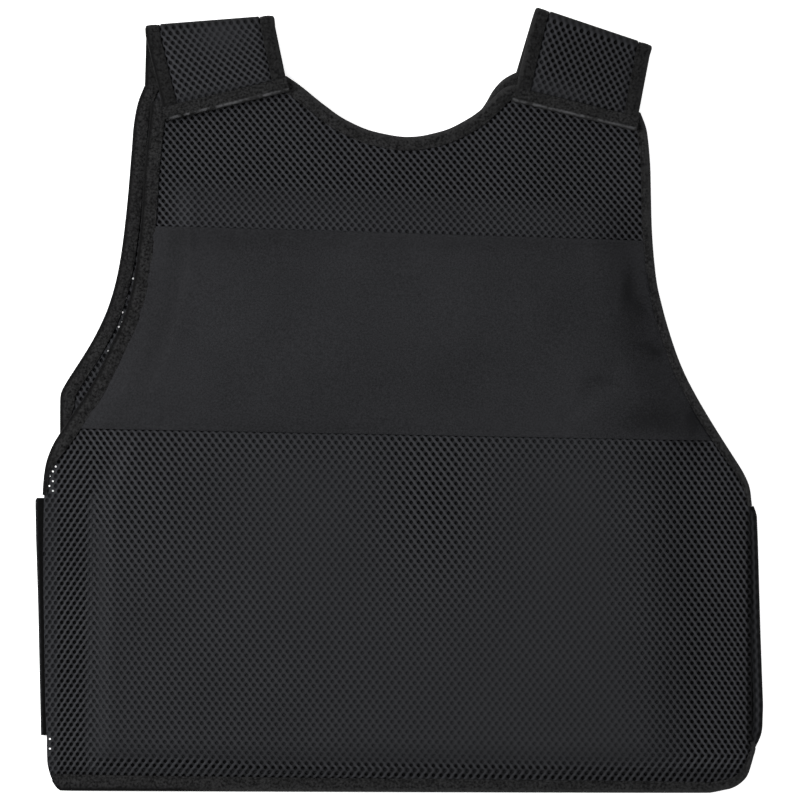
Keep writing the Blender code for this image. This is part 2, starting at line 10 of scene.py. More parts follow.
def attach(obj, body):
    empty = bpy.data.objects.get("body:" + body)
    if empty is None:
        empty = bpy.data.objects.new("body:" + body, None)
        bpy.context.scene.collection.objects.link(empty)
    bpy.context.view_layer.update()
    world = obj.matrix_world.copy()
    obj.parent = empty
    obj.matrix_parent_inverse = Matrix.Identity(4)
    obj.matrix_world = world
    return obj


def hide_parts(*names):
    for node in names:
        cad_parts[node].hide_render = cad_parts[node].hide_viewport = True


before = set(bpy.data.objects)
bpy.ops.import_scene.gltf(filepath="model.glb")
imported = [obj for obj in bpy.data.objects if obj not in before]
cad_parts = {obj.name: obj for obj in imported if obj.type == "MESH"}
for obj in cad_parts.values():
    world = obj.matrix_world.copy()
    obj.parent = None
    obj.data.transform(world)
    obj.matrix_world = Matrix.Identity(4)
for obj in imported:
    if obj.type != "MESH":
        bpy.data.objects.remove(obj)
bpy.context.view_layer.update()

UP = Vector((0.0, 0.0, 1.0))
CUT_SNAP = 0.00001                # a cut keeps a vertex that is as near as this

# Cloth thicknesses and heights, as in the CAD model
GAP = 0.0003
NET = 0.0020
TAPE = 0.0009
BAND = 0.0010
EDGE = GAP + TAPE
HALF_BOUND = NET / 2 + EDGE
BACK_EDGE_Z = HALF_BOUND
FRONT_EDGE_Z = 3 * HALF_BOUND + GAP
STRAP_Z = 5 * HALF_BOUND + 2 * GAP
BACK_PAD_TOP = 0.0084
FRONT_PAD_BOTTOM = 0.0089
FRONT_PAD_TOP = 0.0173
PAD_SLOPE = 0.016
PAD_BOTTOM = -0.2469
PAD_TOP = 0.1387
PAD_TOP_FALL = 0.0556
BACK_PAD_INSET = 0.008
UNDER_PAD_EASE = -0.004
STRAP_TAPE = 0.0098
HEM_TOP_LEFT = -0.2503            # the hem tape's upper line at its left end
STRAP_END_HEM = 0.0100            # plain turned hem at a strap's end
WING = 0.0020
WING_UPPER_Z = FRONT_EDGE_Z - HALF_BOUND - GAP - WING / 2
WING_TIP = 0.0680
BACK_LEFT = -0.2281
BACK_RIGHT = 0.2248
STRAP_SEAM = 0.0006
FOLD_STEPS = 12                   # a strap's fold, as steps of half a turn

PadSide = namedtuple("PadSide", "up left right")
PAD_SIDES = [
    PadSide(-0.2469, -0.2100, 0.1946),
    PadSide(-0.0673, -0.2060, 0.1946),
    PadSide(-0.0271, -0.1926, 0.1826),
    PadSide(0.0023, -0.1806, 0.1712),
    PadSide(0.0399, -0.1658, 0.1611),
    PadSide(0.0801, -0.1564, 0.1531),
    PadSide(0.1404, -0.1538, 0.1477),
]

# The chest band's lower and upper lines fall to the right
Line = namedtuple("Line", "up fall")
BAND_LOWER = Line(-0.0231, 0.018)
BAND_UPPER = Line(0.1116, 0.022)
UNDER_BAND = 0.0045               # how far the net runs on under the band
BAND_TUCK = 0.0026                # how far the band's sides reach in under the tapes

# The net's holes: distance across, distance between rows, and how rows fall to the right
Lattice = namedtuple("Lattice", "across up fall")
BELLY = Lattice(0.00500, 0.00326, 0.018)
YOKE = Lattice(0.00489, 0.00282, 0.040)
STRAP_NET = Lattice(0.00480, 0.00300, 0.0)
WING_NET = Lattice(0.00500, 0.00330, 0.0)
CROWDING = 0.028                  # how much closer the holes lie at the vest's sides
CROWDED_AT = 0.236
HOLE_ROUND = 0.00142              # a hole's radius
OPEN_DEPTH = 0.0013               # a hole over nothing but cloth
FILLED_DEPTH = 0.0004             # a hole over the pad's cover
FLOOR_SIZE = 0.85                 # a pit's floor against its mouth

# Painted shade on the chest band: darker patches over its pressed folds and at its lower right, and
# long faint ones along its seams
Patch = namedtuple("Patch", "across up wide high much")
BAND_SHADES = [
    Patch(0.1535, 0.0740, 0.0045, 0.0130, 0.40), Patch(0.1590, 0.0600, 0.0060, 0.0110, 0.28),
    Patch(0.1715, 0.0315, 0.0050, 0.0028, 0.45), Patch(0.1630, 0.0360, 0.0070, 0.0030, 0.28),
    Patch(0.1650, -0.0130, 0.0180, 0.0095, 0.32),
    Patch(0.1340, 0.0130, 0.0100, 0.0040, 0.20), Patch(0.1960, -0.0150, 0.0050, 0.0100, 0.40),
    Patch(-0.1200, 0.1080, 0.0700, 0.0080, 0.15), Patch(0.0600, 0.1040, 0.0900, 0.0050, 0.10),
    Patch(-0.0500, -0.0180, 0.1500, 0.0050, 0.06),
]

# Where the pad's cover doesn't fill the net's holes, so that they look dark
OPEN_PATCHES = [
    Patch(-0.178, -0.045, 0.072, 0.090, 0.80), Patch(0.022, -0.058, 0.042, 0.068, 0.95),
    Patch(-0.130, -0.200, 0.110, 0.070, 0.35), Patch(-0.020, -0.028, 0.300, 0.014, 0.40),
]
EDGE_FILLING = 0.55               # how far the net's own lower layer fills the front's left strip
BACK_EDGE_FILLING = 0.30

# Holes that show the ground, where nothing lies under the net
SEE_THROUGH = 0.00075             # their radius
Hole = namedtuple("Hole", "across up")
FRONT_HOLES = [
    Hole(-0.2307, -0.0432), Hole(-0.2332, -0.0466), Hole(-0.2312, -0.0492),
    Hole(-0.2339, -0.0519), Hole(-0.2317, -0.0543), Hole(-0.2342, -0.0573),
    Hole(-0.2320, -0.0606), Hole(-0.2331, -0.2277), Hole(-0.2334, -0.2331),
]
BACK_HOLES = [
    Hole(-0.2221, -0.0057), Hole(-0.1752, 0.1173), Hole(-0.1754, 0.1112), Hole(-0.1799, 0.0801),
    Hole(-0.1814, 0.0747), Hole(-0.1819, 0.0690), Hole(-0.1839, 0.0653), Hole(-0.1845, 0.0600),
    Hole(-0.1866, 0.0573), Hole(-0.1873, 0.0519), Hole(-0.1896, 0.0486), Hole(-0.1926, 0.0405),
    Hole(-0.1949, 0.0373), Hole(-0.1968, 0.0332),
]

WING_RIDGE = 0.0018               # the right wing's upper layer is pinched up beside its roll

# Side wings and straps, as in the CAD model
WingRow = namedtuple("WingRow", "up outside")
LEFT_WING = [
    WingRow(-0.2248, -0.2409), WingRow(-0.1879, -0.2417), WingRow(-0.1343, -0.2429),
    WingRow(-0.0941, -0.2442), WingRow(-0.0675, -0.2447), WingRow(-0.0656, -0.2437),
]
RIGHT_WING = [
    WingRow(-0.2330, 0.2384), WingRow(-0.2275, 0.2413), WingRow(-0.2214, 0.2431),
    WingRow(-0.2047, 0.2436), WingRow(-0.1544, 0.2418), WingRow(-0.0941, 0.2401),
    WingRow(-0.0765, 0.2394), WingRow(-0.0712, 0.2373),
]
Strap = namedtuple("Strap", "root fold end")
Pair = namedtuple("Pair", "left right")
LEFT_STRAP = Strap(
    root=Pair((-0.1713, 0.2107), (-0.0868, 0.2255)),
    fold=Pair((-0.1709, 0.2510), (-0.0842, 0.2577)),
    end=Pair((-0.1564, 0.1863), (-0.0744, 0.2062)),
)
RIGHT_STRAP = Strap(
    root=Pair((0.0779, 0.2198), (0.1585, 0.1980)),
    fold=Pair((0.0911, 0.2635), (0.1694, 0.2372)),
    end=Pair((0.0754, 0.1995), (0.1575, 0.1799)),
)

# Folds pressed into the chest band: a line, its half width and its depth
Fold = namedtuple("Fold", "x0 y0 x1 y1 width depth")
BAND_FOLDS = [
    Fold(0.1544, 0.0854, 0.1531, 0.0600, 0.0035, 0.0007),
    Fold(0.1571, 0.0687, 0.1690, 0.0580, 0.0030, 0.0008),
    Fold(0.1665, 0.0352, 0.1765, 0.0278, 0.0012, 0.0009),
    Fold(0.1243, 0.0057, 0.1477, 0.0251, 0.0060, 0.0008),
    Fold(0.1102, -0.0111, 0.1464, 0.0131, 0.0050, 0.0006),
    Fold(0.1960, -0.0050, 0.2080, -0.0258, 0.0030, 0.0007),
]


# Heights and outlines

def ease(value):
    """0 below 0, 1 above 1, and a smooth step between them."""
    t = np.clip(value, 0.0, 1.0)
    return t * t * (3 - 2 * t)


def pad_sides(y):
    """The padding's left and right sides at a height."""
    ups = [side.up for side in PAD_SIDES]
    return (np.interp(y, ups, [side.left for side in PAD_SIDES]),
            np.interp(y, ups, [side.right for side in PAD_SIDES]))


def pad_share(x, y, inset):
    """0 off the padding and 1 on it, for padding that is smaller all round by the inset."""
    left, right = pad_sides(y)
    share = 1.0
    for reach in (x - left, right - x, y - PAD_BOTTOM, PAD_TOP - PAD_TOP_FALL * x - y):
        share = share * ease((reach - inset) / PAD_SLOPE)
    return share


def mix(low, high, share):
    """A value part of the way from low to high."""
    return low + (high - low) * share


def sway(x, y):
    """The soft unevenness of padded cloth."""
    return (0.00022 * np.sin(31 * x + 9 * np.sin(11 * y)) * np.cos(37 * y + 1.3)
            + 0.00012 * np.sin(83 * x + 61 * y) + 0.0001 * np.sin(97 * y - 71 * x + 2.0))


def soft_share(x, y):
    """The pad's shape under the front's net: a clear edge on the left, long slopes elsewhere."""
    left, right = pad_sides(y)
    return (ease((x - left) / PAD_SLOPE) * ease((right - x + 0.010) / 0.044)
            * ease((y - PAD_BOTTOM + 0.003) / 0.022)
            * ease((PAD_TOP - PAD_TOP_FALL * x - y + 0.004) / 0.026))


def from_chest_side(x, y):
    """How far a place lies inside the chest band's two side edges, continued up and down."""
    lefts, rights = CHEST_SIDES
    return np.minimum(x - np.interp(y, lefts[:, 1], lefts[:, 0]),
                      np.interp(y, rights[:, 1], rights[:, 0]) - x)


def front_top(x, y):
    """The front panel's upper side, raised over its pad and taut beside the chest band."""
    off_band = np.maximum(0.0, np.maximum(line_height(BAND_LOWER, x) - y,
                                          y - line_height(BAND_UPPER, x)))
    pulled = ease(from_chest_side(x, y) / 0.036) * ease(1 - off_band / 0.034)
    share = np.maximum(soft_share(x, y), pulled)
    return mix(FRONT_EDGE_Z + NET / 2, FRONT_PAD_TOP, share) + sway(x, y) * share


def front_low(x, y):
    """The front panel's underside."""
    return mix(FRONT_EDGE_Z - NET / 2, FRONT_PAD_BOTTOM, pad_share(x, y, UNDER_PAD_EASE))


def wing_lift(x, y):
    """How far the side wings, which lie under the back panel, lift its sides."""
    up_share = ease((y + 0.2330) / 0.0150 + 1) * ease((-0.0620 - y) / 0.0180 + 1)
    from_side = np.minimum(x - BACK_LEFT, BACK_RIGHT - x)
    return (WING + GAP) * up_share * ease((0.1070 - from_side) / (0.1070 - 0.0760))


def back_low(x, y):
    """The back panel's underside, on the ground or on the wings."""
    share = pad_share(x, y, BACK_PAD_INSET)
    return np.maximum(mix(BACK_EDGE_Z - NET / 2, 0.0, share), wing_lift(x, y))


def back_top(x, y):
    """The back panel's upper side."""
    share = pad_share(x, y, BACK_PAD_INSET)
    return np.maximum(mix(BACK_EDGE_Z + NET / 2, BACK_PAD_TOP, share), back_low(x, y) + NET)


def line_height(line, x):
    """How high one of the chest band's lines lies."""
    return line.up - line.fall * x


def whole(bm):
    return bm.verts[:] + bm.edges[:] + bm.faces[:]


def cut_across(bm, axis, place, geom=None):
    """Cuts a mesh, or some of it, square to an axis, and gives back what was cut."""
    normal = Vector((1.0, 0.0, 0.0)) if axis == 0 else Vector((0.0, 1.0, 0.0))
    return bmesh.ops.bisect_plane(bm, geom=geom or whole(bm), dist=CUT_SNAP, plane_no=normal,
                                  plane_co=normal * float(place))["geom"]


def faces_in(geom):
    return [item for item in geom if isinstance(item, bmesh.types.BMFace)]


def sink_new(geom, depth):
    """Sets an extrusion's new vertices at a depth."""
    for item in geom:
        if isinstance(item, bmesh.types.BMVert):
            item.co.z = -depth


def centres_of(faces):
    return np.array([face.calc_center_median()[:2] for face in faces])


def keep_faces(bm, wanted):
    """Deletes the faces whose centres (x, y) aren't wanted."""
    faces = list(bm.faces)
    kept = wanted(*centres_of(faces).T)
    bmesh.ops.delete(bm, geom=[face for face, keep in zip(faces, kept) if not keep],
                     context="FACES")


def face_outwards(bm):
    bmesh.ops.recalc_face_normals(bm, faces=bm.faces)
    if bm.calc_volume(signed=True) < 0:
        bmesh.ops.reverse_faces(bm, faces=bm.faces)


def mesh_from(name, bm):
    mesh = bpy.data.meshes.new(name)
    bm.to_mesh(mesh)
    bm.free()
    return mesh


def places_in(mesh):
    flat = np.empty(len(mesh.vertices) * 3)
    mesh.vertices.foreach_get("co", flat)
    return flat.reshape(-1, 3)


def add_pattern(mesh, along_across):
    """The UV map that a cloth's pattern follows, from two numbers for each vertex."""
    corners = np.empty(len(mesh.loops), int)
    mesh.loops.foreach_get("vertex_index", corners)
    mesh.uv_layers.new(name="pattern").data.foreach_set("uv", along_across[corners].ravel())


def put_piece(name, mesh, material):
    """Puts a mesh into the scene as a piece of the vest."""
    mesh.materials.append(material)
    thing = bpy.data.objects.new(name, mesh)
    bpy.context.scene.collection.objects.link(thing)
    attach(thing, "root")
    return thing


def merged_copy(node):
    """A CAD node's mesh, with its loose triangles joined."""
    bm = bmesh.new()
    bm.from_mesh(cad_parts[node].data)
    bmesh.ops.remove_doubles(bm, verts=bm.verts, dist=0.00002)
    return bm


def walk(links):
    """Orders linked vertices into one line or loop."""
    start = next((v for v in links if len(links[v]) == 1), next(iter(links)))
    order, before = [start], None
    while True:
        onward = [v for v in links[order[-1]] if v is not before and v is not start]
        if not onward:
            return order
        before = order[-1]
        order.append(onward[0])


def outline_of(node):
    """A flat node's outline seen from above, anticlockwise, as places (x, y)."""
    bm = merged_copy(node)
    links = {}
    for edge in bm.edges:
        rises = sorted(abs(face.normal.z) for face in edge.link_faces)
        upward = max(face.normal.z for face in edge.link_faces)
        if rises[0] < 0.4 and upward > 0.6:
            first, second = edge.verts
            links.setdefault(first, []).append(second)
            links.setdefault(second, []).append(first)
    places = np.array([vertex.co.xy[:] for vertex in walk(links)])
    bm.free()
    after = np.roll(places, -1, axis=0)
    area = np.sum(places[:, 0] * after[:, 1] - after[:, 0] * places[:, 1])
    return places if area > 0 else places[::-1]


def inside(outline, x, y):
    """Which places (x, y) lie inside an outline."""
    crossings = np.zeros(len(x), int)
    for (x0, y0), (x1, y1) in zip(outline, np.roll(outline, -1, axis=0)):
        if y0 == y1:
            continue
        spans = (y0 <= y) != (y1 <= y)
        crossings += spans & (x < x0 + (y - y0) * (x1 - x0) / (y1 - y0))
    return crossings % 2 == 1


def onto(outline, places):
    """The nearest place on an outline to each place."""
    best = np.full(len(places), 9.0)
    found = places.copy()
    for first, second in zip(outline, np.roll(outline, -1, axis=0)):
        way = second - first
        share = np.clip(((places - first) @ way) / (way @ way), 0, 1)
        near = first + share[:, None] * way
        away = np.hypot(*(places - near).T)
        closer = away < best
        best[closer] = away[closer]
        found[closer] = near[closer]
    return found, best


# Net cloth

def hexagons(lattice, low, high):
    """A flat field of six-sided cells, one for each hole, from corner to corner.

    A hole's middle lies where the lattice's two numbers are both whole, or both half.
    """
    bm = bmesh.new()
    columns = int((high[0] - low[0]) / lattice.across) + 2
    pairs = int((high[1] - low[1]) / lattice.up / 2) + 2
    bmesh.ops.create_circle(bm, cap_ends=True, segments=6, radius=1.0)
    bmesh.ops.scale(bm, verts=bm.verts,
                    vec=(lattice.across / math.sqrt(3), lattice.up * 2 / 3, 1.0))
    left = math.floor(low[0] / lattice.across) * lattice.across
    bottom = math.floor(low[1] / lattice.up / 2) * lattice.up * 2
    bmesh.ops.translate(bm, verts=bm.verts, vec=(left, bottom, 0.0))
    for way, steps in (((lattice.across, 0, 0), columns), ((lattice.across / 2, lattice.up, 0), 1),
                       ((0, 2 * lattice.up, 0), pairs)):
        bmesh.ops.spin(bm, geom=whole(bm), cent=(0, 0, 0), axis=(0, 0, 1), dvec=way,
                       angle=0.0, steps=steps, use_duplicate=True)
    bmesh.ops.remove_doubles(bm, verts=bm.verts, dist=lattice.up / 20)
    return bm


def crowding(x):
    """How much closer the holes lie towards the vest's sides than at its middle."""
    return 1 - CROWDING * (np.abs(x) / CROWDED_AT) ** 6


def bent(lattice, x, y):
    """Where the lattice's place lies on the vest: rows fall to the right, sides are crowded."""
    return x * crowding(x), y - lattice.fall * x


def unbent(lattice, x, y):
    """The lattice's place of a place on the vest, found in a few steps."""
    straight = x.copy()
    for _ in range(3):
        straight = x / crowding(straight)
    return straight, y + lattice.fall * straight


def fit_field(bm, lattice, outline, bend=True):
    """Bends a field of cells to the vest, and cuts it to an outline."""
    if bend:
        places = np.array([vertex.co[:] for vertex in bm.verts])
        x, y = bent(lattice, places[:, 0], places[:, 1])
        for vertex, x_now, y_now in zip(bm.verts, x, y):
            vertex.co = (x_now, y_now, 0.0)
    keep_faces(bm, lambda x, y: inside(outline, x, y))
    rim = [vertex for vertex in bm.verts if vertex.is_boundary]
    found, away = onto(outline, np.array([vertex.co.xy[:] for vertex in rim]))
    near = []
    for vertex, place, off in zip(rim, found, away):
        if off < lattice.across:
            vertex.co = (place[0], place[1], 0.0)
            near.append(vertex)
    bmesh.ops.remove_doubles(bm, verts=near, dist=0.0004)
    return bm


def keep_cells(field, wanted):
    """A copy of a field with only the cells whose centres are wanted."""
    bm = field.copy()
    keep_faces(bm, wanted)
    return bm


def ring_cells(bm, lattice, faces, drop):
    """Insets each whole cell to a round hole, and gives back the holes' faces."""
    full = 0.55 * lattice.across * lattice.up
    cells = [face for face in faces if face.calc_area() > full]
    bmesh.ops.inset_individual(bm, faces=cells, thickness=0.0003, use_even_offset=True)
    for cell in cells:
        centre = cell.calc_center_median()
        for vertex in cell.verts:
            away = vertex.co - centre
            away.length = HOLE_ROUND
            vertex.co = (centre.x + away.x * 0.96, centre.y + away.y * 1.08, -drop)
    return cells


def sink_pits(bm, cells, pad):
    """Turns each hole's face into the floor of a pit."""
    floors = bmesh.ops.extrude_discrete_faces(bm, faces=cells)["faces"]
    for floor, share in zip(floors, pad(*centres_of(floors).T)):
        centre = floor.calc_center_median()
        depth = mix(OPEN_DEPTH, FILLED_DEPTH, share)
        for vertex in floor.verts:
            vertex.co = (mix(centre.x, vertex.co.x, FLOOR_SIZE),
                         mix(centre.y, vertex.co.y, FLOOR_SIZE), -depth)


def slope_pits(cells):
    """Shallow pits with no walls, for the side that a vest lies on."""
    for cell in cells:
        for vertex in cell.verts:
            vertex.co.z = -FILLED_DEPTH


def close_below(bm, outline, cuts, pierced):
    """Closes an open flat sheet: a rounded rim, and an underside of small faces.

    A flat place's depth under the upper side is kept as -z: the rim's middle is at -0.5 and
    the underside at -1, until the sheet is laid on its pad.
    """
    rim = [edge for edge in bm.edges if edge.is_boundary]
    middles = np.array([((edge.verts[0].co + edge.verts[1].co) / 2)[:2] for edge in rim])
    _, away = onto(outline, middles)
    for edge, off in zip(rim, away):
        edge.smooth = bool(off < 0.0004)
    for depth in (0.5, 1.0):
        made = bmesh.ops.extrude_edge_only(bm, edges=rim)["geom"]
        sink_new(made, depth)
        rim = [item for item in made if isinstance(item, bmesh.types.BMEdge) and item.is_boundary]
    loop = [edge for edge in bm.edges if edge.is_boundary]
    filled = bmesh.ops.triangle_fill(bm, edges=loop, use_beauty=False, use_dissolve=False)
    under = faces_in(filled["geom"])
    if not pierced:
        under = bmesh.ops.dissolve_faces(bm, faces=under, use_verts=False)["region"]
    for axis in (0, 1):
        for place in cuts[axis]:
            geom = set(under)
            for face in under:
                geom.update(face.edges)
                geom.update(face.verts)
            under = faces_in(cut_across(bm, axis, place, list(geom)))


def finish_piece(name, bm, place, material, lattice=None, flat_place=None):
    """Lays a flat sheet where it belongs and makes it a piece, with its pattern's UV map."""
    mesh = mesh_from(name, bm)
    x, y, depth = places_in(mesh).T
    depth = -depth
    mesh.vertices.foreach_set("co", place(x, y, depth).ravel())
    if lattice is not None:
        u, v = flat_place(x, y)
        add_pattern(mesh, np.column_stack((u / lattice.across, v / lattice.up)))
    mesh.update()
    bm = bmesh.new()
    bm.from_mesh(mesh)
    face_outwards(bm)
    bm.to_mesh(mesh)
    bm.free()
    mesh.shade_smooth()
    return put_piece(name, mesh, material), x, y, depth


def number_layer(thing, name, values):
    """A number for each vertex, which the materials read."""
    layer = thing.data.attributes.new(name, "FLOAT", "POINT")
    layer.data.foreach_set("value", np.asarray(values, dtype=np.float32))


def layered(depth, upper, middle, under):
    """Where a sheet's upper side, its rim's middle and its underside lie, by their depth."""
    return np.where(depth > 0.9, under, np.where(depth > 0.4, middle, upper))


def on_panel(top, low, face_down=False):
    """Lays a flat sheet between a panel's upper and lower sides, or its net facing down."""
    def place(x, y, depth):
        upper, under = top(x, y), low(x, y)
        middle = (upper + under) / 2
        height = (layered(depth, under + depth, middle, upper) if face_down
                  else layered(depth, upper - depth, middle, under))
        return np.column_stack((x, y, height))
    return place


def evenly(value):
    """The same value all over a piece."""
    return lambda x, y: np.full(len(x), float(value))


def everywhere(x, y):
    """Wants every cell."""
    return np.full(len(x), True)


PANEL_CUTS = (np.linspace(-0.230, 0.230, 33), np.linspace(-0.255, 0.220, 34))


def net_cover(name, field, lattice, outline, wanted, place, pad, material, cuts=PANEL_CUTS,
              sloped=False, bend=True, holes=(), plain=None, folds=(), shadow=None, lean=None):
    """Net cloth with round pits on a closed shape. pad(x, y) is 1 over the pad's own cover.

    Cells at a place in holes are pierced right through, and plain(x, y) has no pits. The flat
    shape is cut at each place in folds, as (axis, place), so that it rolls smoothly there.
    """
    bm = keep_cells(field, wanted)
    if holes:
        pierce(bm, holes)
    upper = list(bm.faces)
    close_below(bm, outline, cuts, bool(holes))
    if plain is not None:
        upper = [face for face, off in zip(upper, plain(*centres_of(upper).T)) if not off]
    cells = ring_cells(bm, lattice, upper, 0.00015)
    if sloped:
        slope_pits(cells)
    else:
        sink_pits(bm, cells, pad)
    for axis, cut in folds:
        cut_across(bm, axis, cut)
    return net_finish(name, bm, lattice, place, pad, material, bend, shadow, lean)


def pierce(bm, holes):
    """Opens the cell nearest to each place right through."""
    faces = list(bm.faces)
    centres = centres_of(faces)
    nearest = set()
    for hole in holes:
        away = np.hypot(centres[:, 0] - hole.across, centres[:, 1] - hole.up)
        if away.min() < 0.0035:
            nearest.add(int(away.argmin()))
    cells = [faces[index] for index in sorted(nearest)]
    bmesh.ops.inset_individual(bm, faces=cells, thickness=0.0003, use_even_offset=True)
    for cell in cells:
        centre = cell.calc_center_median()
        for vertex in cell.verts:
            vertex.co = centre + (vertex.co - centre).normalized() * SEE_THROUGH
    bmesh.ops.delete(bm, geom=cells, context="FACES")


def net_finish(name, bm, lattice, place, pad, material, bend, shadow=None, lean=None):
    """Makes a net piece, with the numbers that the net's material reads."""
    def flat_place(x, y):
        return unbent(lattice, x, y) if bend else (x, y)
    thing, x, y, depth = finish_piece(name, bm, place, material, lattice, flat_place)
    # A painted shadow takes the pad's cover out of the pits, and darkens the cloth through the pit
    # number.
    number_layer(thing, "pad", pad(x, y) * (1 - shadow(x, y) if shadow else 1))
    number_layer(thing, "lean", (lean or lean_left)(x, y))
    dark = ((depth > 0.0005) & (depth < 0.4)).astype(float)
    number_layer(thing, "pit", dark if shadow is None else np.maximum(dark, shadow(x, y)))
    return thing


def lean_left(x, y):
    """1 where the strands painted lit run up to the right: at the left side and over the hem."""
    side = ease((-0.2035 - x) / 0.005) * ease((-0.026 - y) / 0.012)
    middle = ease((x + 0.140) / 0.060) * (1 - ease((x - 0.100) / 0.040))
    hem = ease((-0.2360 - 0.0100 * middle - y) / 0.004)
    return np.maximum(side, hem)


# Folded tape

Station = namedtuple("Station", "edge inward normal face")
ROW_RADIUS = 0.4                  # stitches are made as a row of balls one metre apart


def tape_stations(node, middle):
    """A flat tape's stations, read from its CAD node: its cloth's edge, the way in, its width."""
    bm = merged_copy(node)
    noses = {v for v in bm.verts if abs(v.co.z - middle) < 0.0001}
    links = {v: [e.other_vert(v) for e in v.link_edges if e.other_vert(v) in noses]
             for v in noses}
    upper = [v.co.copy() for v in bm.verts if abs(v.co.z - middle - HALF_BOUND) < 0.0001]
    stations = []
    for nose in [vertex.co.copy() for vertex in walk(links)]:
        flat = [(place.xy - nose.xy, place) for place in upper]
        first, outer = min(flat, key=lambda item: item[0].length)
        way = first.normalized()
        beyond = [(away.normalized().dot(way), away, place) for away, place in flat
                  if first.length * 1.5 < away.length < 0.04]
        _, away, _ = max(beyond, key=lambda item: item[0])
        stretch = first.length / EDGE
        stations.append(Station(Vector((outer.x, outer.y, middle)), (first / EDGE).to_3d(), UP,
                                (away.length - first.length) / stretch))
    bm.free()
    return stations


def resampled(stations, spacing):
    """Stations at even spacing along a smooth curve through the given ones, straight at corners."""
    edges = [station.edge for station in stations]
    ways = [(b - a).normalized() for a, b in zip(edges, edges[1:])]
    spans = [(b - a).length for a, b in zip(edges, edges[1:])]
    reaches = [1.5 * min(spans[max(index - 1, 0)], spans[min(index, len(spans) - 1)])
               for index in range(len(edges))]
    tangents = []
    for index in range(len(edges)):
        before, after = ways[max(index - 1, 0)], ways[min(index, len(ways) - 1)]
        corner = before.dot(after) < 0.82
        tangents.append(None if corner else (before + after).normalized())
    found = []
    for index, (first, second) in enumerate(zip(stations, stations[1:])):
        span = (second.edge - first.edge).length
        start = (tangents[index] or ways[index]) * min(span, reaches[index])
        finish = (tangents[index + 1] or ways[index]) * min(span, reaches[index + 1])
        steps = max(1, round(span / spacing))
        for step in range(steps):
            t = step / steps
            place = (first.edge * (1 + 2 * t) * (1 - t) ** 2 + start * t * (1 - t) ** 2
                     + second.edge * t * t * (3 - 2 * t) + finish * t * t * (t - 1))
            found.append(Station(place, first.inward.lerp(second.inward, t),
                                 first.normal.lerp(second.normal, t).normalized(),
                                 mix(first.face, second.face, t)))
    return found + [stations[-1]]


def tape_section(face, wave):
    """A folded tape's section, as (reach inwards, height from the middle)."""
    inner = NET / 2 + GAP
    crown = HALF_BOUND + 0.0002 + wave
    side = min(0.0014, face * 0.3)
    return [
        (face, inner + 0.0004), (face - 0.0003, HALF_BOUND - 0.0001 + wave),
        (face - side, HALF_BOUND - 0.00025 + wave), (face - 1.9 * side, crown - 0.0001),
        (face * 0.35, crown), (0.0, HALF_BOUND - 0.0001), (-0.0008, 0.0014), (-EDGE, 0.0),
        (-0.0008, -0.0014), (0.0, -HALF_BOUND + 0.0001), (face * 0.35, -HALF_BOUND),
        (face - side, -HALF_BOUND + 0.00025), (face - 0.0003, -HALF_BOUND + 0.0001),
        (face, -inner - 0.0004), (face, -inner), (-GAP, -inner), (-GAP, inner), (face, inner),
    ]


def hem_section(face, wave):
    """A strap's end hem: a turned strip with a rolled ridge along its outer edge."""
    inner = NET / 2 + GAP
    high = HALF_BOUND + 0.0007
    return [
        (face, inner + 0.0004), (face - 0.0003, high - 0.0002), (face - 0.0012, high - 0.0003),
        (face * 0.6, high), (face * 0.35, high - 0.0001 + wave), (0.0021, high - 0.0005),
        (0.0013, high + 0.0001 + wave), (0.0005, high + 0.0006 + wave), (-0.0005, high - 0.0001),
        (-EDGE, HALF_BOUND * 0.3), (-0.0008, -0.0014), (0.0, -HALF_BOUND + 0.0001),
        (face * 0.5, -HALF_BOUND), (face - 0.0003, -HALF_BOUND + 0.0001),
        (face, -inner - 0.0004), (face, -inner), (-GAP, -inner), (-GAP, inner), (face, inner),
    ]


def sweep_tape(name, stations, materials, spacing=0.0028, shape=tape_section):
    """A tape folded over an edge, with a line of stitches near its inner edge on both sides."""
    stations = resampled(stations, spacing)
    bm = bmesh.new()
    pattern = bm.verts.layers.float_vector.new("along_across")
    cap = None
    run = 0.0
    before = None
    for index, station in enumerate(stations):
        run += (station.edge - before).length if before else 0.0
        before = station.edge
        wave = 0.00012 * math.sin(run * 260) + 0.00009 * math.sin(run * 611 + 1.0)
        section = shape(station.face, wave if shape is tape_section else 2.4 * wave)
        ring = [station.edge + station.inward * reach + station.normal * height
                for reach, height in section]
        if cap is None:
            cap = bm.faces.new([bm.verts.new(place) for place in ring])
        else:
            made = bmesh.ops.extrude_face_region(bm, geom=[cap] + list(cap.edges))["geom"]
            cap = next(item for item in made if isinstance(item, bmesh.types.BMFace))
        for vertex, place, (reach, height) in zip(cap.verts, ring, section):
            vertex.co = place
            vertex[pattern] = (run, reach, height)
    face_outwards(bm)
    mesh = mesh_from(name, bm)
    spots = np.empty(len(mesh.vertices) * 3)
    mesh.attributes["along_across"].data.foreach_get("vector", spots)
    add_pattern(mesh, spots.reshape(-1, 3)[:, :2])
    mesh.shade_smooth()
    mesh.set_sharp_from_angle(angle=math.radians(60))
    thing = put_piece(name, mesh, materials[0])
    sew_stitches(name + "_stitches", stations, materials[1])
    return thing


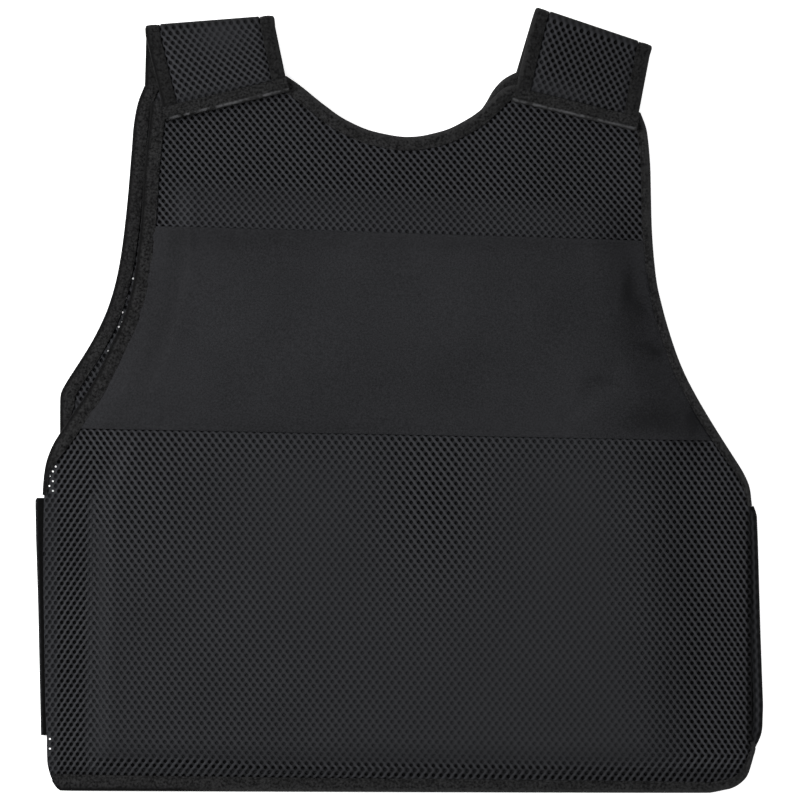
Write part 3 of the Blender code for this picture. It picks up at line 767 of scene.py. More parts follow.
def sew_stitches(name, stations, thread, every=0.0032, length=0.0021, thick=0.00042):
    """Lines of stitches near a tape's inner edge, on both of its sides."""
    frames = []
    run, due = 0.0, every / 2
    for first, second in zip(stations, stations[1:]):
        span = (second.edge - first.edge).length
        while span > 0 and due < run + span:
            t = (due - run) / span
            normal = first.normal.lerp(second.normal, t).normalized()
            for side in (1, -1):
                ends = [s.edge + s.inward * (s.face - min(0.0014, s.face * 0.3))
                        + s.normal * side * (HALF_BOUND - 0.00022) for s in (first, second)]
                along = (ends[1] - ends[0]).normalized()
                frames.append((ends[0].lerp(ends[1], t)[:], (along * length / 2)[:],
                               (normal.cross(along) * thick / 2)[:], (normal * thick / 2)[:]))
            due += every
        run += span
    frames = np.array(frames)
    bm = bmesh.new()
    bmesh.ops.create_uvsphere(bm, u_segments=6, v_segments=3, radius=ROW_RADIUS)
    bmesh.ops.rotate(bm, verts=bm.verts, cent=(0, 0, 0),
                     matrix=Matrix.Rotation(math.pi / 2, 3, "Y"))
    bmesh.ops.spin(bm, geom=whole(bm), cent=(0, 0, 0), axis=(0, 0, 1), dvec=(1, 0, 0),
                   angle=0.0, steps=len(frames) - 1, use_duplicate=True)
    mesh = mesh_from(name, bm)
    row = places_in(mesh)
    which = np.clip(np.round(row[:, 0]).astype(int), 0, len(frames) - 1)
    local = (row - np.column_stack((which, 0 * which, 0 * which))) / ROW_RADIUS
    sewn = frames[which, 0] + sum(local[:, k:k + 1] * frames[which, k + 1] for k in range(3))
    mesh.vertices.foreach_set("co", sewn.ravel())
    mesh.update()
    mesh.shade_smooth()
    thing = put_piece(name, mesh, thread)


# Finishes

def new_material(name, roughness, gloss=0.06):
    """A material's node tree and its shader."""
    material = bpy.data.materials.new(name)
    material.use_nodes = True
    tree = material.node_tree
    shader = tree.nodes["Principled BSDF"]
    shader.inputs["Roughness"].default_value = roughness
    shader.inputs["Specular IOR Level"].default_value = gloss
    return material, tree, shader


def node(tree, kind, **settings):
    made = tree.nodes.new(kind)
    for name, value in settings.items():
        setattr(made, name, value)
    return made


def sums(tree, operation, *values, clamp=False):
    """One Math node. Each value is a node's output or a number."""
    made = node(tree, "ShaderNodeMath", operation=operation, use_clamp=clamp)
    for socket, value in zip(made.inputs, values):
        if isinstance(value, (int, float)):
            socket.default_value = value
        else:
            tree.links.new(value, socket)
    return made.outputs[0]


def chained(tree, operation, values, clamp):
    total = values[0]
    for count, value in enumerate(values[1:], 2):
        total = sums(tree, operation, total, value, clamp=clamp and count == len(values))
    return total


def times(tree, *values, clamp=False):
    return chained(tree, "MULTIPLY", values, clamp)


def plus(tree, *values, clamp=False):
    return chained(tree, "ADD", values, clamp)


def minus(tree, first, second, clamp=False):
    return sums(tree, "SUBTRACT", first, second, clamp=clamp)


def wave(tree, along, length):
    return sums(tree, "SINE", times(tree, along, 2 * math.pi / length))


def blend_colours(tree, share, low, high):
    made = node(tree, "ShaderNodeMix", data_type="RGBA")
    tree.links.new(share, made.inputs["Factor"])
    for socket, value in ((made.inputs[6], low), (made.inputs[7], high)):
        if isinstance(value, tuple):
            socket.default_value = value
        else:
            tree.links.new(value, socket)
    return made.outputs[2]


def split(tree, vector):
    """A vector's first and second numbers."""
    parts = node(tree, "ShaderNodeSeparateXYZ")
    tree.links.new(vector, parts.inputs[0])
    return parts.outputs[0], parts.outputs[1]


def pattern_of(tree):
    """A cloth's own pattern: along it and across it."""
    return split(tree, node(tree, "ShaderNodeUVMap", uv_map="pattern").outputs[0])


def object_place(tree):
    return node(tree, "ShaderNodeTexCoord").outputs["Object"]


def attribute(tree, name):
    return node(tree, "ShaderNodeAttribute", attribute_name=name).outputs["Fac"]


def noise(tree, coordinates, scale, detail=2.0):
    """Soft noise between 0 and 1."""
    made = node(tree, "ShaderNodeTexNoise")
    made.inputs["Scale"].default_value = scale
    made.inputs["Detail"].default_value = detail
    tree.links.new(coordinates, made.inputs["Vector"])
    return made.outputs["Fac"]


def finish_surface(tree, shader, colour, height, strength, distance):
    """Links a colour, and a bump of a height in metres."""
    tree.links.new(colour, shader.inputs["Base Color"])
    bump = node(tree, "ShaderNodeBump")
    bump.inputs["Strength"].default_value = strength
    bump.inputs["Distance"].default_value = distance
    tree.links.new(height, bump.inputs["Height"])
    tree.links.new(bump.outputs[0], shader.inputs["Normal"])


NET_DARK = (0.0068, 0.0070, 0.0078, 1)
NET_LIGHT = (0.0292, 0.0299, 0.0329, 1)
PAD_COVER = (0.0118, 0.0121, 0.0136, 1)
# Painted shade: a near-black floor for the holes over nothing, and the colour that painted shadows
# blend to
HOLE_SHADE = (0.0008, 0.0008, 0.0009, 1)
TAPE_DARK = (0.0026, 0.0026, 0.0027, 1)
TAPE_LIGHT = (0.0184, 0.0184, 0.0187, 1)
STRAP_TAPE_LIGHT = (0.0126, 0.0126, 0.0128, 1)
# Painted highlight along the rolled ridge of a strap's end hem
RIDGE_HIGHLIGHT = (0.0480, 0.0485, 0.0505, 1)
THREAD = (0.0080, 0.0080, 0.0083, 1)
BAND_DARK = (0.0060, 0.0061, 0.0068, 1)
BAND_LIGHT = (0.0206, 0.0209, 0.0230, 1)
FLOOR_LOW = (0.90, 0.90, 0.90, 1)
FLOOR_HIGH = (0.93, 0.93, 0.93, 1)

WARP = 0.00062                    # the chest band's threads, from one to the next
WEFT = 0.00055
TAPE_RIB = 0.00085
END_RIB = 0.00060
END_RIDGE = 0.0013                # half the width of the painted highlight on a strap end's ridge
RIM = 0.0021                      # how far in from a tape's edge its painted rim shade and rim highlight reach
RIM_SHADE_LEFT_OF = 0.150                 # rims get painted shade further left than this, and a painted highlight further right


def net_material():
    """Yarns that cross between the holes, plainer where a pad lies under the net."""
    material, tree, shader = new_material("net_cloth", 0.8)
    u, v = pattern_of(tree)
    yarns = []
    for way in ("ADD", "SUBTRACT"):
        across = sums(tree, way, u, times(tree, v, 0.5))
        yarns.append(sums(tree, "MULTIPLY_ADD", sums(
            tree, "COSINE", times(tree, across, 2 * math.pi)), -0.5, 0.5))
    down_right, up_right = yarns
    lean, pad, pit = [attribute(tree, name) for name in ("lean", "pad", "pit")]
    # Painted light: the strands along one diagonal are painted lit and the crossing ones painted in
    # shade; lean picks the lit diagonal.
    bright = plus(tree, down_right, times(tree, lean, minus(tree, up_right, down_right)))
    dull = minus(tree, plus(tree, down_right, up_right), bright)
    much = minus(tree, 0.98, times(tree, pad, 0.42))
    little = plus(tree, 0.07, times(tree, pad, 0.47))
    strands = plus(tree, times(tree, sums(tree, "POWER", bright, 1.4), much),
                   times(tree, dull, little))
    place = object_place(tree)
    yarn, cloudy = noise(tree, place, 2100.0), noise(tree, place, 23.0)
    share = times(tree, strands, plus(tree, yarn, 0.5), clamp=True)
    share = times(tree, share, sums(tree, "MULTIPLY_ADD", cloudy, 0.5, 0.75))
    calm = minus(tree, 1.0, times(tree, pad, 0.72))
    share = plus(tree, times(tree, share, calm), times(tree, pad, 0.19))
    cloth = blend_colours(tree, share, NET_DARK, NET_LIGHT)
    # Pits and painted shadows blend the cloth to the floor colour, which is near-black painted
    # shade where no pad's cover lies under it.
    colour = blend_colours(tree, pit, cloth, blend_colours(tree, pad, HOLE_SHADE, PAD_COVER))
    finish_surface(tree, shader, colour, plus(tree, strands, times(tree, yarn, 0.7)), 0.5, 0.0003)
    return material


def tape_material(name, rib, light, ridge=0.0):
    """Ribbed, mottled tape with painted shade at left rims, painted highlights at others and a
    ridge.
    """
    material, tree, shader = new_material(name, 0.75, 0.03)
    along, from_edge = pattern_of(tree)
    ribs = sums(tree, "MULTIPLY_ADD", wave(tree, along, rib), 0.5, 0.5)
    place = object_place(tree)
    fuzz, mottle, cloudy = [noise(tree, place, scale) for scale in (1300.0, 620.0, 60.0)]
    grain = plus(tree, times(tree, ribs, 0.20),
                 plus(tree, times(tree, fuzz, 0.80), times(tree, mottle, 2.6)))
    share = times(tree, minus(tree, grain, 1.30), plus(tree, cloudy, 0.5), clamp=True)
    # Painted light on the rims: shade on those far left, a highlight on the others.
    rim = minus(tree, 1.0, sums(tree, "DIVIDE", sums(tree, "ABSOLUTE", from_edge), RIM), clamp=True)
    right = times(tree, plus(tree, split(tree, place)[0], RIM_SHADE_LEFT_OF), 25.0, clamp=True)
    left_rim_shade = times(tree, rim, minus(tree, 1.0, right))
    share = times(tree, share, minus(tree, 1.0, left_rim_shade, clamp=True))
    share = plus(tree, share, times(tree, rim, right, 0.55), clamp=True)
    cloth = blend_colours(tree, share, TAPE_DARK, light)
    # Painted highlight along a strap end's rolled ridge, broken up by noise.
    if ridge:
        off_ridge = sums(tree, "ABSOLUTE", minus(tree, from_edge, 0.0003))
        ridge_highlight = minus(tree, 1.0, sums(tree, "DIVIDE", off_ridge, ridge), clamp=True)
        broken = times(tree, minus(tree, noise(tree, place, 210.0), 0.40), 5.0, clamp=True)
        ridge_highlight = times(tree, ridge_highlight, times(tree, broken, mottle), clamp=True)
        cloth = blend_colours(tree, times(tree, ridge_highlight, 2.8, clamp=True), cloth, RIDGE_HIGHLIGHT)
    finish_surface(tree, shader, cloth, plus(tree, grain, ribs), 0.4, 0.0002)
    return material


def thread_material():
    material, tree, shader = new_material("stitch_thread", 0.5)
    twist = noise(tree, object_place(tree), 4000.0)
    low = tuple(part * 0.7 for part in THREAD[:3]) + (1,)
    finish_surface(tree, shader, blend_colours(tree, twist, low, THREAD), twist, 0.3, 0.0001)
    return material


def band_material():
    """A close plain weave, darker where the band carries painted shade."""
    material, tree, shader = new_material("woven_band", 0.72)
    place = object_place(tree)
    across, up = split(tree, place)
    weave = times(tree, wave(tree, across, WARP), wave(tree, up, WEFT))
    fuzz, cloudy = noise(tree, place, 900.0), noise(tree, place, 14.0, 3.0)
    share = plus(tree, times(tree, fuzz, 1.30),
                 plus(tree, times(tree, cloudy, 0.55), times(tree, weave, 0.08)))
    share = minus(tree, minus(tree, share, 0.50, clamp=True), attribute(tree, "shade"), clamp=True)
    finish_surface(tree, shader, blend_colours(tree, share, BAND_DARK, BAND_LIGHT),
                   plus(tree, weave, fuzz), 0.25, 0.00012)
    return material


def floor_material():
    material, tree, shader = new_material("pale_floor", 0.9)
    soft = noise(tree, object_place(tree), 3.0)
    tree.links.new(blend_colours(tree, soft, FLOOR_LOW, FLOOR_HIGH), shader.inputs["Base Color"])
    shader.inputs["Emission Color"].default_value = (1.0, 1.0, 1.0, 1.0)
    shader.inputs["Emission Strength"].default_value = 0.6
    return material


# Panels

def openness(x, y):
    """1 where the pad's cover fills the net's holes, and towards 0 where they show dark."""
    right = 0.116 - 0.14 * (y + 0.03)
    share = pad_share(x, y, -0.006) * (1 - 0.85 * ease((x - right) / 0.066))
    for patch in OPEN_PATCHES:
        share = share * (1 - patch.much * spot(x, y, *patch[:4]))
    foot = 0.2425 + 0.0045 * ease((x + 0.140) / 0.060) + 0.0030 * ease((x - 0.020) / 0.130)
    over_hem = ease((y + foot) / 0.005)
    share = share * (1 - 0.40 * ease((y - 0.105) / 0.004)) * over_hem
    ridge = 0.8 * np.exp(-((x + 0.2000) / 0.0045) ** 2) * ease((-0.070 - y) / 0.025)
    return np.clip(np.maximum(0.92 * share, ridge * over_hem), 0, 1)


def spot(x, y, across, up, wide, high):
    """A soft round patch: 1 in its middle, fading outwards."""
    return np.exp(-((x - across) / wide) ** 2 - ((y - up) / high) ** 2)


def open_left(x, y):
    """The strip of the front's left side that reaches past its pad and the back."""
    return (x < -0.2295) & (y < -0.035)


def front_shadow(x, y):
    """Painted shade: the front's net is darker over its hem, and along its right edge by the wing's
    ridge.
    """
    hem = 0.30 * ease((-0.2450 - y) / 0.003)
    wing = 0.8 * ease((x - 0.2322) / 0.0006) * ease((-0.072 - y) / 0.004)
    return np.maximum(hem, wing * ease((y + 0.240) / 0.004))


def edge_shadow(x, y):
    """Painted shadow: the left strip's edge is dark along the wing's roll."""
    return (0.85 * ease((-0.2385 - x) / 0.0008) * ease((-0.070 - y) / 0.004)
            * ease((y + 0.226) / 0.004))


def under_hem(x, y):
    """Where the hem's tape hides the front's net."""
    return y < -0.2543 - 0.0105 * x


def build_front(net):
    """The front's net covers, over the pad and on the strip left of it."""
    outline = outline_of("front_panel")
    belly = fit_field(hexagons(BELLY, (-0.262, -0.286), (0.262, 0.010)), BELLY, outline)
    yoke = fit_field(hexagons(YOKE, (-0.200, 0.085), (0.200, 0.245)), YOKE, outline)
    laid = on_panel(front_top, front_low)

    def under_band(x, y):
        return y < line_height(BAND_LOWER, x) + UNDER_BAND

    def over_band(x, y):
        return y > line_height(BAND_UPPER, x) - UNDER_BAND
    pieces = [
        net_cover("front_cover_lower", belly, BELLY, outline,
                  lambda x, y: under_band(x, y) & ~open_left(x, y), laid, openness, net,
                  shadow=front_shadow, plain=under_hem),
        net_cover("front_cover_upper", yoke, YOKE, outline, over_band, laid, openness, net),
        plain_cover("front_cover_under_band", outline, net)]
    for piece in pieces:
        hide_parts("front_panel")
    edge = net_cover("front_edge_net_left", belly, BELLY, outline,
                     lambda x, y: under_band(x, y) & open_left(x, y), laid,
                     evenly(EDGE_FILLING), net, holes=FRONT_HOLES, shadow=edge_shadow)
    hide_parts("front_panel")
    size_of(edge)


def size_of(thing):
    places = places_in(thing.data)
    wide, long, _ = places.max(axis=0) - places.min(axis=0)
    return float(wide), float(long)


def plain_cover(name, outline, material):
    """The cover's middle, hidden under the chest band."""
    bm = bmesh.new()
    bm.faces.new([bm.verts.new((x, y, 0.0)) for x, y in outline])
    for line, past, side in ((BAND_LOWER, UNDER_BAND + 0.002, 1),
                             (BAND_UPPER, -UNDER_BAND - 0.002, -1)):
        bmesh.ops.bisect_plane(bm, geom=whole(bm), plane_co=(0.0, line.up + past, 0.0),
                               plane_no=Vector((line.fall, 1.0, 0.0)) * -side,
                               clear_outer=True, dist=CUT_SNAP)
    for axis, start, end in ((0, -0.21, 0.21), (1, BAND_LOWER.up, BAND_UPPER.up)):
        steps = int((end - start) / 0.010)
        for step in range(steps + 1):
            cut_across(bm, axis, mix(start, end, step / steps))
    sink_new(bmesh.ops.extrude_face_region(bm, geom=bm.faces[:])["geom"], 1.0)
    laid = on_panel(lambda x, y: front_top(x, y) - 0.0010, front_low)
    return net_finish(name, bm, BELLY, laid, openness, material, True)


def build_back(net):
    """The back's net covers: the padded one faces the ground, the strip faces up."""
    outline = outline_of("back_panel")
    field = fit_field(hexagons(BELLY, (-0.245, -0.286), (0.245, 0.245)), BELLY, outline)
    cover = net_cover(
        "back_cover", field, BELLY, outline, lambda x, y: ~back_strip(x, y),
        on_panel(back_top, back_low, face_down=True), openness, net, sloped=True)
    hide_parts("back_panel")
    strip = net_cover("back_edge_net_left", field, BELLY, outline, back_strip,
                      on_panel(back_top, back_low), evenly(BACK_EDGE_FILLING), net,
                      holes=BACK_HOLES)
    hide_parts("back_panel")
    size_of(strip)


def back_strip(x, y):
    """The strip of the back's net that shows beside the front's left armhole."""
    edge = np.interp(y, (0.00, 0.05, 0.12, 0.23), (-0.197, -0.184, -0.170, -0.160))
    return (x < edge) & (y > 0.0)


def band_relief(x, y):
    """The band's shallow creases and folds."""
    relief = 0.00010 * np.sin(47 * x + 2.0) * np.sin(59 * y) + 0.00006 * np.sin(131 * x - 90 * y)
    for fold in BAND_FOLDS:
        way = np.array((fold.x1 - fold.x0, fold.y1 - fold.y0))
        length = math.hypot(*way)
        along = ((x - fold.x0) * way[0] + (y - fold.y0) * way[1]) / length
        off = ((x - fold.x0) * way[1] - (y - fold.y0) * way[0]) / length
        fade = ease((along + 0.006) / 0.010) * ease((length + 0.006 - along) / 0.010)
        relief = relief - 1.7 * fold.depth * np.exp(-(off / fold.width) ** 2) * fade
        relief = relief + 0.5 * fold.depth * fade * np.exp(-((off - 2 * fold.width)
                                                             / fold.width) ** 2)
    return relief


def chest_sides():
    """The chest band's left and right side edges, each from its lower to its upper corner."""
    outline = outline_of("chest_band")
    x, y = outline.T
    low_left, low_right = outline[np.argmin(x + y)], outline[np.argmax(x - 0.8 * y)]
    high_right, high_left = outline[np.argmax(0.6 * x + y)], outline[np.argmin(0.6 * x - y)]
    return side_of(outline, high_left, low_left), side_of(outline, low_right, high_right)


def band_shade(x, y):
    """How much painted shade the band has: over its creases, along its seams and towards its right
    side.
    """
    shade = 0.10 * ease((x - 0.090) / 0.100)
    for patch in BAND_SHADES:
        shade = shade + patch.much * spot(x, y, *patch[:4])
    return np.clip(shade, 0, 1)


def side_of(outline, start, end):
    """The part of an outline from one place to another, anticlockwise."""
    first = int(np.argmin(np.hypot(*(outline - start).T)))
    ordered = np.roll(outline, -first, axis=0)
    last = int(np.argmin(np.hypot(*(ordered - end).T)))
    side = ordered[:last + 1]
    return side[np.argsort(side[:, 1])]


def build_band(woven):
    """The chest band, from its lower seam to its upper one."""
    lefts, rights = CHEST_SIDES
    (low_left, high_left), (low_right, high_right) = [(side[0], side[-1]) for side in CHEST_SIDES]
    bm = bmesh.new()
    bmesh.ops.create_grid(bm, x_segments=150, y_segments=60, size=1.0)
    bmesh.ops.solidify(bm, geom=bm.faces[:], thickness=BAND)
    for vertex in bm.verts:
        vertex.co.z = -abs(vertex.co.z)

    def place(u, v, depth):
        across, up = (u + 1) / 2, (v + 1) / 2
        up = up - 0.8 * np.sin(2 * math.pi * up) / (2 * math.pi)
        left_y, right_y = mix(low_left[1], high_left[1], up), mix(low_right[1], high_right[1], up)
        left_x = np.interp(left_y, lefts[:, 1], lefts[:, 0]) - BAND_TUCK
        right_x = np.interp(right_y, rights[:, 1], rights[:, 0]) + BAND_TUCK
        x, y = mix(left_x, right_x, across), mix(left_y, right_y, across)
        from_edge = np.minimum(up, 1 - up) * 0.135
        seam = 0.00030 * np.exp(-((from_edge - 0.0034) / 0.0006) ** 2)
        lip = 0.00030 * np.exp(-(from_edge / 0.0008) ** 2)
        height = band_top(x, y, np.minimum(x - left_x, right_x - x)) + band_relief(x, y)
        tucked = 0.0005 * ease(1 - np.minimum(x - left_x, right_x - x) / 0.0034)
        return np.column_stack((x, y, height - seam - lip - tucked - depth))
    band, u, _, _ = finish_piece("woven_chest_band", bm, place, woven)
    shade = band_shade(*places_in(band.data)[:, :2].T)
    # Painted shade on the band's left slope, where the lamp lights it more.
    left_slope_shade = np.exp(-(((u + 1) * 0.205 - 0.022) / 0.012) ** 2)
    number_layer(band, "shade", shade + 0.26 * left_slope_shade)
    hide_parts("chest_band")
    size_of(band)


def band_top(x, y, from_side):
    """The band is pulled taut from the pad to its sides, so its slopes are long."""
    flat = FRONT_EDGE_Z + NET / 2
    share = np.maximum(soft_share(x, y), ease(from_side / 0.036))
    return mix(flat, FRONT_PAD_TOP, share) + GAP + BAND + 0.5 * sway(x, y) * share


# Wings and straps

def build_wing(name, table, side, root, tip, net):
    """A side wing, rolled round from above its root to its tip under the back."""
    way = 1 if side > 0 else -1
    radius = (WING_UPPER_Z - WING / 2) / 2
    arc = math.pi * radius
    ups = [row.up for row in table]
    outsides = [row.outside for row in table]

    def turn_at(y):
        return np.interp(y, ups, outsides) - way * (radius + WING / 2)
    edge_ups = np.linspace(ups[0], ups[-1], 40)
    roots = [(-abs(turn_at(y) - root), y) for y in edge_ups]
    tips = [(arc + abs(turn_at(y) - tip), y) for y in edge_ups]
    outline = np.array(tips + roots[::-1])

    def place(s, y, depth):
        turn = turn_at(y)
        angle = np.clip(math.pi / 2 - s / radius, -math.pi / 2, math.pi / 2)
        upper, under = np.minimum(s, 0.0), np.maximum(s - arc, 0.0)
        x = turn + way * (np.cos(angle) * radius + upper - under)
        z = WING / 2 + radius + np.sin(angle) * radius
        out = layered(depth, WING / 2 - depth, 0.0, -WING / 2)
        if way > 0:
            out = out + WING_RIDGE * np.exp(-((s + 0.0020) / 0.0011) ** 2) * ridge_share(y)
        return np.column_stack((x + way * np.cos(angle) * out, y, z + np.sin(angle) * out))

    def ridge_share(y):
        return ease((-0.074 - y) / 0.006) * (0.35 + 0.65 * ease((y + 0.150) / 0.020))

    def left_crease_shadow(s, y):
        """Painted shadow in the deep crease between the left wing's roll and the front's edge."""
        return ease((0.0014 - s) / 0.0012) * ease((s + 0.0060) / 0.0010)

    def right_crease_shadow(s, y):
        """Painted shade on the right wing's crease and on its roll, leaving a pale ridge between
        them.
        """
        return np.maximum(0.75 * ease((s + 0.0008) / 0.0008), ease((-0.0040 - s) / 0.0008))
    low, high = outline.min(axis=0) - 0.005, outline.max(axis=0) + 0.005
    field = fit_field(hexagons(WING_NET, low, high), WING_NET, outline, bend=False)
    folds = [*np.linspace(-0.0064, -0.0008, 8), *np.linspace(0.0, arc, 11)]
    wing = net_cover(name, field, WING_NET, outline, everywhere, place, evenly(0.0), net,
                     cuts=(np.linspace(-0.001, arc + 0.001, 10), np.linspace(ups[0], ups[-1], 9)),
                     bend=False, plain=lambda s, y: (s > -0.009) & (s < arc + 0.004),
                     folds=[(0, fold) for fold in folds], lean=evenly(0.5),
                     shadow=left_crease_shadow if way < 0 else right_crease_shadow)
    return wing, (float(arc + abs(turn_at(ups[2]) - root) + abs(turn_at(ups[2]) - tip)),
                  ups[-1] - ups[0])


def strap_sections(strap):
    """The CAD strap's middle surface as rows of left place, right place and outward normal."""
    fold_left, fold_right = [Vector((*place, 0.0)) for place in strap.fold]
    along = (fold_right - fold_left).normalized()
    down = Vector((along.y, -along.x, 0.0))
    radius = (STRAP_Z - BACK_EDGE_Z) / 2
    turns = [corner + down * (radius + HALF_BOUND) for corner in (fold_left, fold_right)]
    rows = [(*[Vector((*place, BACK_EDGE_Z)) + down * STRAP_SEAM for place in strap.root], -UP)]
    for step in range(FOLD_STEPS + 1):
        angle = -math.pi / 2 + math.pi * step / FOLD_STEPS
        normal = UP * math.sin(angle) - down * math.cos(angle)
        offset = UP * (BACK_EDGE_Z + radius) + normal * radius
        rows.append((turns[0] + offset, turns[1] + offset, normal))
    ends = [Vector((*place, STRAP_Z)) for place in strap.end]
    rows.append((ends[0], ends[1], UP))
    return rows


def left_filling(x, y, wide, long):
    """Where the left strap's stuffing fills its net's holes: under its fold's middle."""
    near_fold = spot(x, y, 0.08 * wide, long - 0.050, 0.22 * wide, 0.013)
    near_end = ease((y - long + 0.017) / 0.006)
    return np.clip(0.20 + 0.75 * near_fold + 0.5 * near_end, 0, 1)


def right_filling(x, y, wide, long):
    """The right strap's: near its end and along its tapes."""
    near_end = spot(x, y, -0.18 * wide, long - 0.012, 0.30 * wide, 0.008)
    beside = ease((np.abs(x) - wide / 2 + 0.017) / 0.006)
    near_fold = ease((long - 0.060 - y) / 0.006)
    return np.clip(0.9 * near_end + 0.45 * beside + 0.5 * near_fold, 0, 1)


def build_strap(side, strap, net, tapes, filling, lean, shadow_all_over):
    """A strap's net, from its seam on the back round the fold to its end."""
    rows = strap_sections(strap)
    lefts = np.array([row[0][:] for row in rows])
    rights = np.array([row[1][:] for row in rows])
    normals = np.array([row[2][:] for row in rows])
    middles = (lefts + rights) / 2
    runs = np.concatenate(([0.0], np.cumsum(np.linalg.norm(np.diff(middles, axis=0), axis=1))))
    long, fold_run = runs[-1], runs[1 + FOLD_STEPS // 2]
    wide = float(np.mean(np.linalg.norm(rights - lefts, axis=1)))

    def along(table, y):
        return np.column_stack([np.interp(y, runs, table[:, k]) for k in range(3)])

    def place(x, y, depth):
        share = (x / wide + 0.5)[:, None]
        middle = mix(along(lefts, y), along(rights, y), share)
        normal = along(normals, y)
        normal /= np.linalg.norm(normal, axis=1)[:, None]
        from_edge = np.minimum(wide / 2 - np.abs(x), long - y) - STRAP_TAPE
        at_fold = np.exp(-((y - fold_run) / 0.009) ** 2)
        half = mix(NET / 2, HALF_BOUND + 0.0002,
                   ease(from_edge / mix(0.0035, 0.0008, at_fold)))
        out = layered(depth, half - depth, 0.0, -half)
        return middle + normal * out[:, None]
    inset = wide / 2 - EDGE
    outline = np.array([(-inset, 0.0), (inset, 0.0), (inset, long - EDGE), (-inset, long - EDGE)])
    field = fit_field(hexagons(STRAP_NET, (-wide / 2, -0.004), (wide / 2, long + 0.004)),
                      STRAP_NET, outline, bend=False)
    beside_tapes = [(0, way * (wide / 2 - STRAP_TAPE - off)) for way in (-1, 1)
                    for off in (0.0, 0.0008)]
    # Painted shadow along the strap's fold, and an even painted shade over the whole strap.
    strap_net = net_cover("strap_net_" + side, field, STRAP_NET, outline, everywhere, place,
                          lambda x, y: filling(x, y, wide, long), net,
                          cuts=(np.linspace(-inset + 0.009, inset - 0.009, 2),
                                np.concatenate((runs[1:-1], (long - 0.014, long - 0.010)))),
                          bend=False, plain=lambda x, y: np.abs(y - fold_run) < 0.0042,
                          folds=[(1, cut) for cut in runs[1:-1]] + beside_tapes,
                          lean=evenly(lean), shadow=lambda x, y: np.maximum(
                              shadow_all_over, 0.85 * np.exp(-((y - fold_run) / 0.0052) ** 2)))
    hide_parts("shoulder_strap_" + side)
    bind_strap(side, rows, tapes)


def bind_strap(side, rows, tapes):
    """Tapes along a strap's two long edges, and a turned hem across its end."""
    for word, near, far, way in (("left", 0, 1, 1), ("right", 1, 0, -1)):
        stations = []
        for index, row in enumerate(rows):
            across = (row[far] - row[near]).normalized()
            edge = row[near] + across * EDGE
            if index == len(rows) - 1:
                edge = stations[-1].edge.lerp(edge, 1 - 0.0060 / (edge - stations[-1].edge).length)
            stations.append(Station(edge, across, row[2], STRAP_TAPE - EDGE))
        tape = sweep_tape("strap_tape_%s_%s" % (side, word), stations, tapes)
        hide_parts("strap_binding_" + side)
    left, right, _ = rows[-1]
    across = (right - left).normalized()
    inward = Vector((-across.y, across.x, 0.0))
    stations = [Station(mix(left, right, share) + inward * EDGE + across * (share - 0.5) * 0.0012,
                        inward, UP, STRAP_END_HEM - EDGE)
                for share in (0.0, 0.25, 0.5, 0.75, 1.0)]
    hem = sweep_tape("strap_end_hem_" + side, stations, (tapes[2], tapes[1]), 0.0020, hem_section)
    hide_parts("strap_binding_" + side)


# The whole vest

def level_end(stations):
    """The front's hem tape runs out level to the left, and its bottom edge curves up to it."""
    if stations[0].edge.x > stations[-1].edge.x:
        stations = stations[::-1]
    level = []
    for station in stations:
        if station.edge.x < -0.222:
            face = HEM_TOP_LEFT - station.edge.y
            if face < 0.0016:
                continue
            station = Station(station.edge, Vector((0.0, 1.0, 0.0)), UP, face)
        level.append(station)
    return level


def build_tapes(tapes):
    """Tapes round both panels, each in place of its CAD node."""
    for panel, middle in (("front", FRONT_EDGE_Z), ("back", BACK_EDGE_Z)):
        for part in ("neck", "armhole_left", "armhole_right", "hem"):
            words = part.split("_")
            cad = "_".join([panel, words[0], "binding"] + words[1:])
            stations = tape_stations(cad, middle)
            if cad == "front_hem_binding":
                stations = level_end(stations)
            tape = sweep_tape(panel + "_" + part + "_tape", stations, tapes)
            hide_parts(cad)


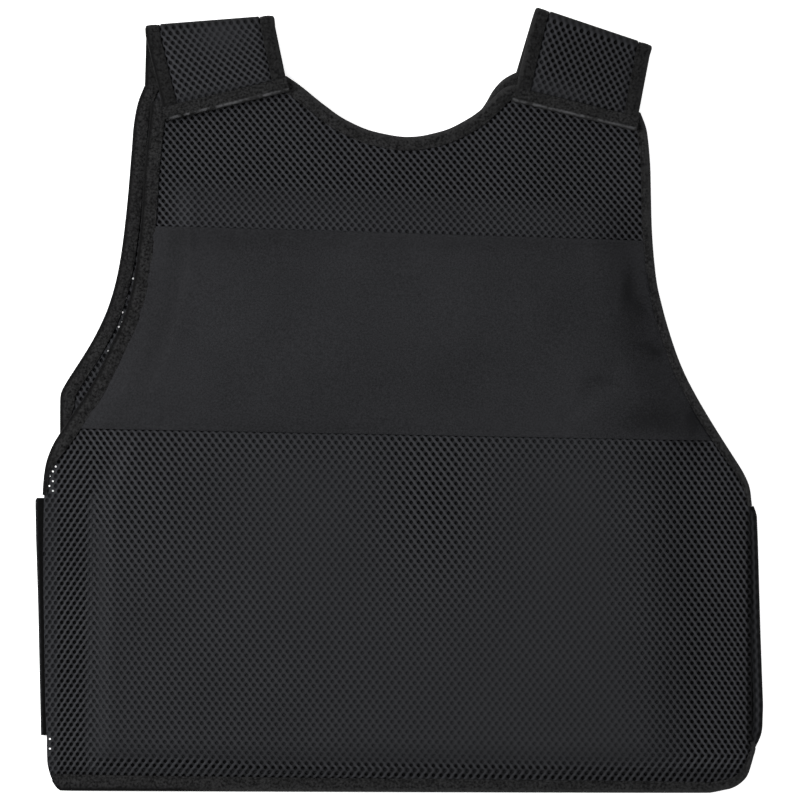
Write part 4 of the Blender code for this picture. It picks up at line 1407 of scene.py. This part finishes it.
def build_light():
    """Soft studio light: one lamp from the upper left, one from below, and a pale sky."""
    world = bpy.data.worlds.new("studio")
    bpy.context.scene.world = world
    world.use_nodes = True
    sky = world.node_tree.nodes["Background"]
    sky.inputs["Color"].default_value = (1.0, 1.0, 1.0, 1.0)
    sky.inputs["Strength"].default_value = 0.75
    Lamp = namedtuple("Lamp", "name place size power")
    for lamp in (Lamp("key", (-1.10, 0.28, 1.15), 0.8, 30.0),
                 Lamp("fill", (1.2, -1.2, 2.0), 1.6, 6.0)):
        data = bpy.data.lights.new(lamp.name, "AREA")
        data.energy = lamp.power
        data.size = lamp.size
        thing = bpy.data.objects.new(lamp.name, data)
        thing.location = lamp.place
        thing.rotation_euler = (-Vector(lamp.place)).to_track_quat("-Z", "Y").to_euler()
        bpy.context.scene.collection.objects.link(thing)


FLOOR_GAP = 0.0004                # the floor lies just under the vest


def build_floor():
    bm = bmesh.new()
    bmesh.ops.create_grid(bm, x_segments=8, y_segments=8, size=3.0)
    mesh = mesh_from("floor", bm)
    mesh.transform(Matrix.Translation((0.0, 0.0, -FLOOR_GAP)))
    mesh.materials.append(floor_material())
    floor = bpy.data.objects.new("floor", mesh)
    bpy.context.scene.collection.objects.link(floor)


def build_camera():
    """A camera straight above the vest, at the photograph's framing."""
    frame_width, away, level = 0.536, 4.0, 0.007
    data = bpy.data.cameras.new("camera")
    data.sensor_width = 36.0
    data.lens = 36.0 * away / frame_width
    data.clip_end = 50.0
    camera = bpy.data.objects.new("camera", data)
    camera.location = (0.0, 0.0, level + away)
    bpy.context.scene.collection.objects.link(camera)
    bpy.context.scene.camera = camera
    bpy.context.scene.view_settings.view_transform = "Standard"


def build():
    net, woven = net_material(), band_material()
    thread = thread_material()
    tapes = (tape_material("folded_tape", TAPE_RIB, TAPE_LIGHT), thread)
    strap_tapes = (tape_material("strap_tape", TAPE_RIB, STRAP_TAPE_LIGHT), thread,
                   tape_material("strap_end_cloth", END_RIB, TAPE_LIGHT, END_RIDGE))
    build_back(net)
    build_front(net)
    build_band(woven)
    clear = EDGE + GAP
    left, left_flat = build_wing("wing_net_left", LEFT_WING, -1, BACK_LEFT - clear,
                                 BACK_LEFT + WING_TIP, net)
    right, right_flat = build_wing("wing_net_right", RIGHT_WING, 1, BACK_RIGHT + clear,
                                   BACK_RIGHT - WING_TIP, net)
    for wing, flat, cad in ((left, left_flat, "side_wing_left"), (right, right_flat,
                                                                "side_wing_right")):
        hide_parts(cad)
    build_strap("left", LEFT_STRAP, net, strap_tapes, left_filling, 1.0, 0.0)
    build_strap("right", RIGHT_STRAP, net, strap_tapes, right_filling, 0.7, 0.14)
    build_tapes(tapes)
    build_floor()
    build_light()
    build_camera()


CHEST_SIDES = chest_sides()
build()
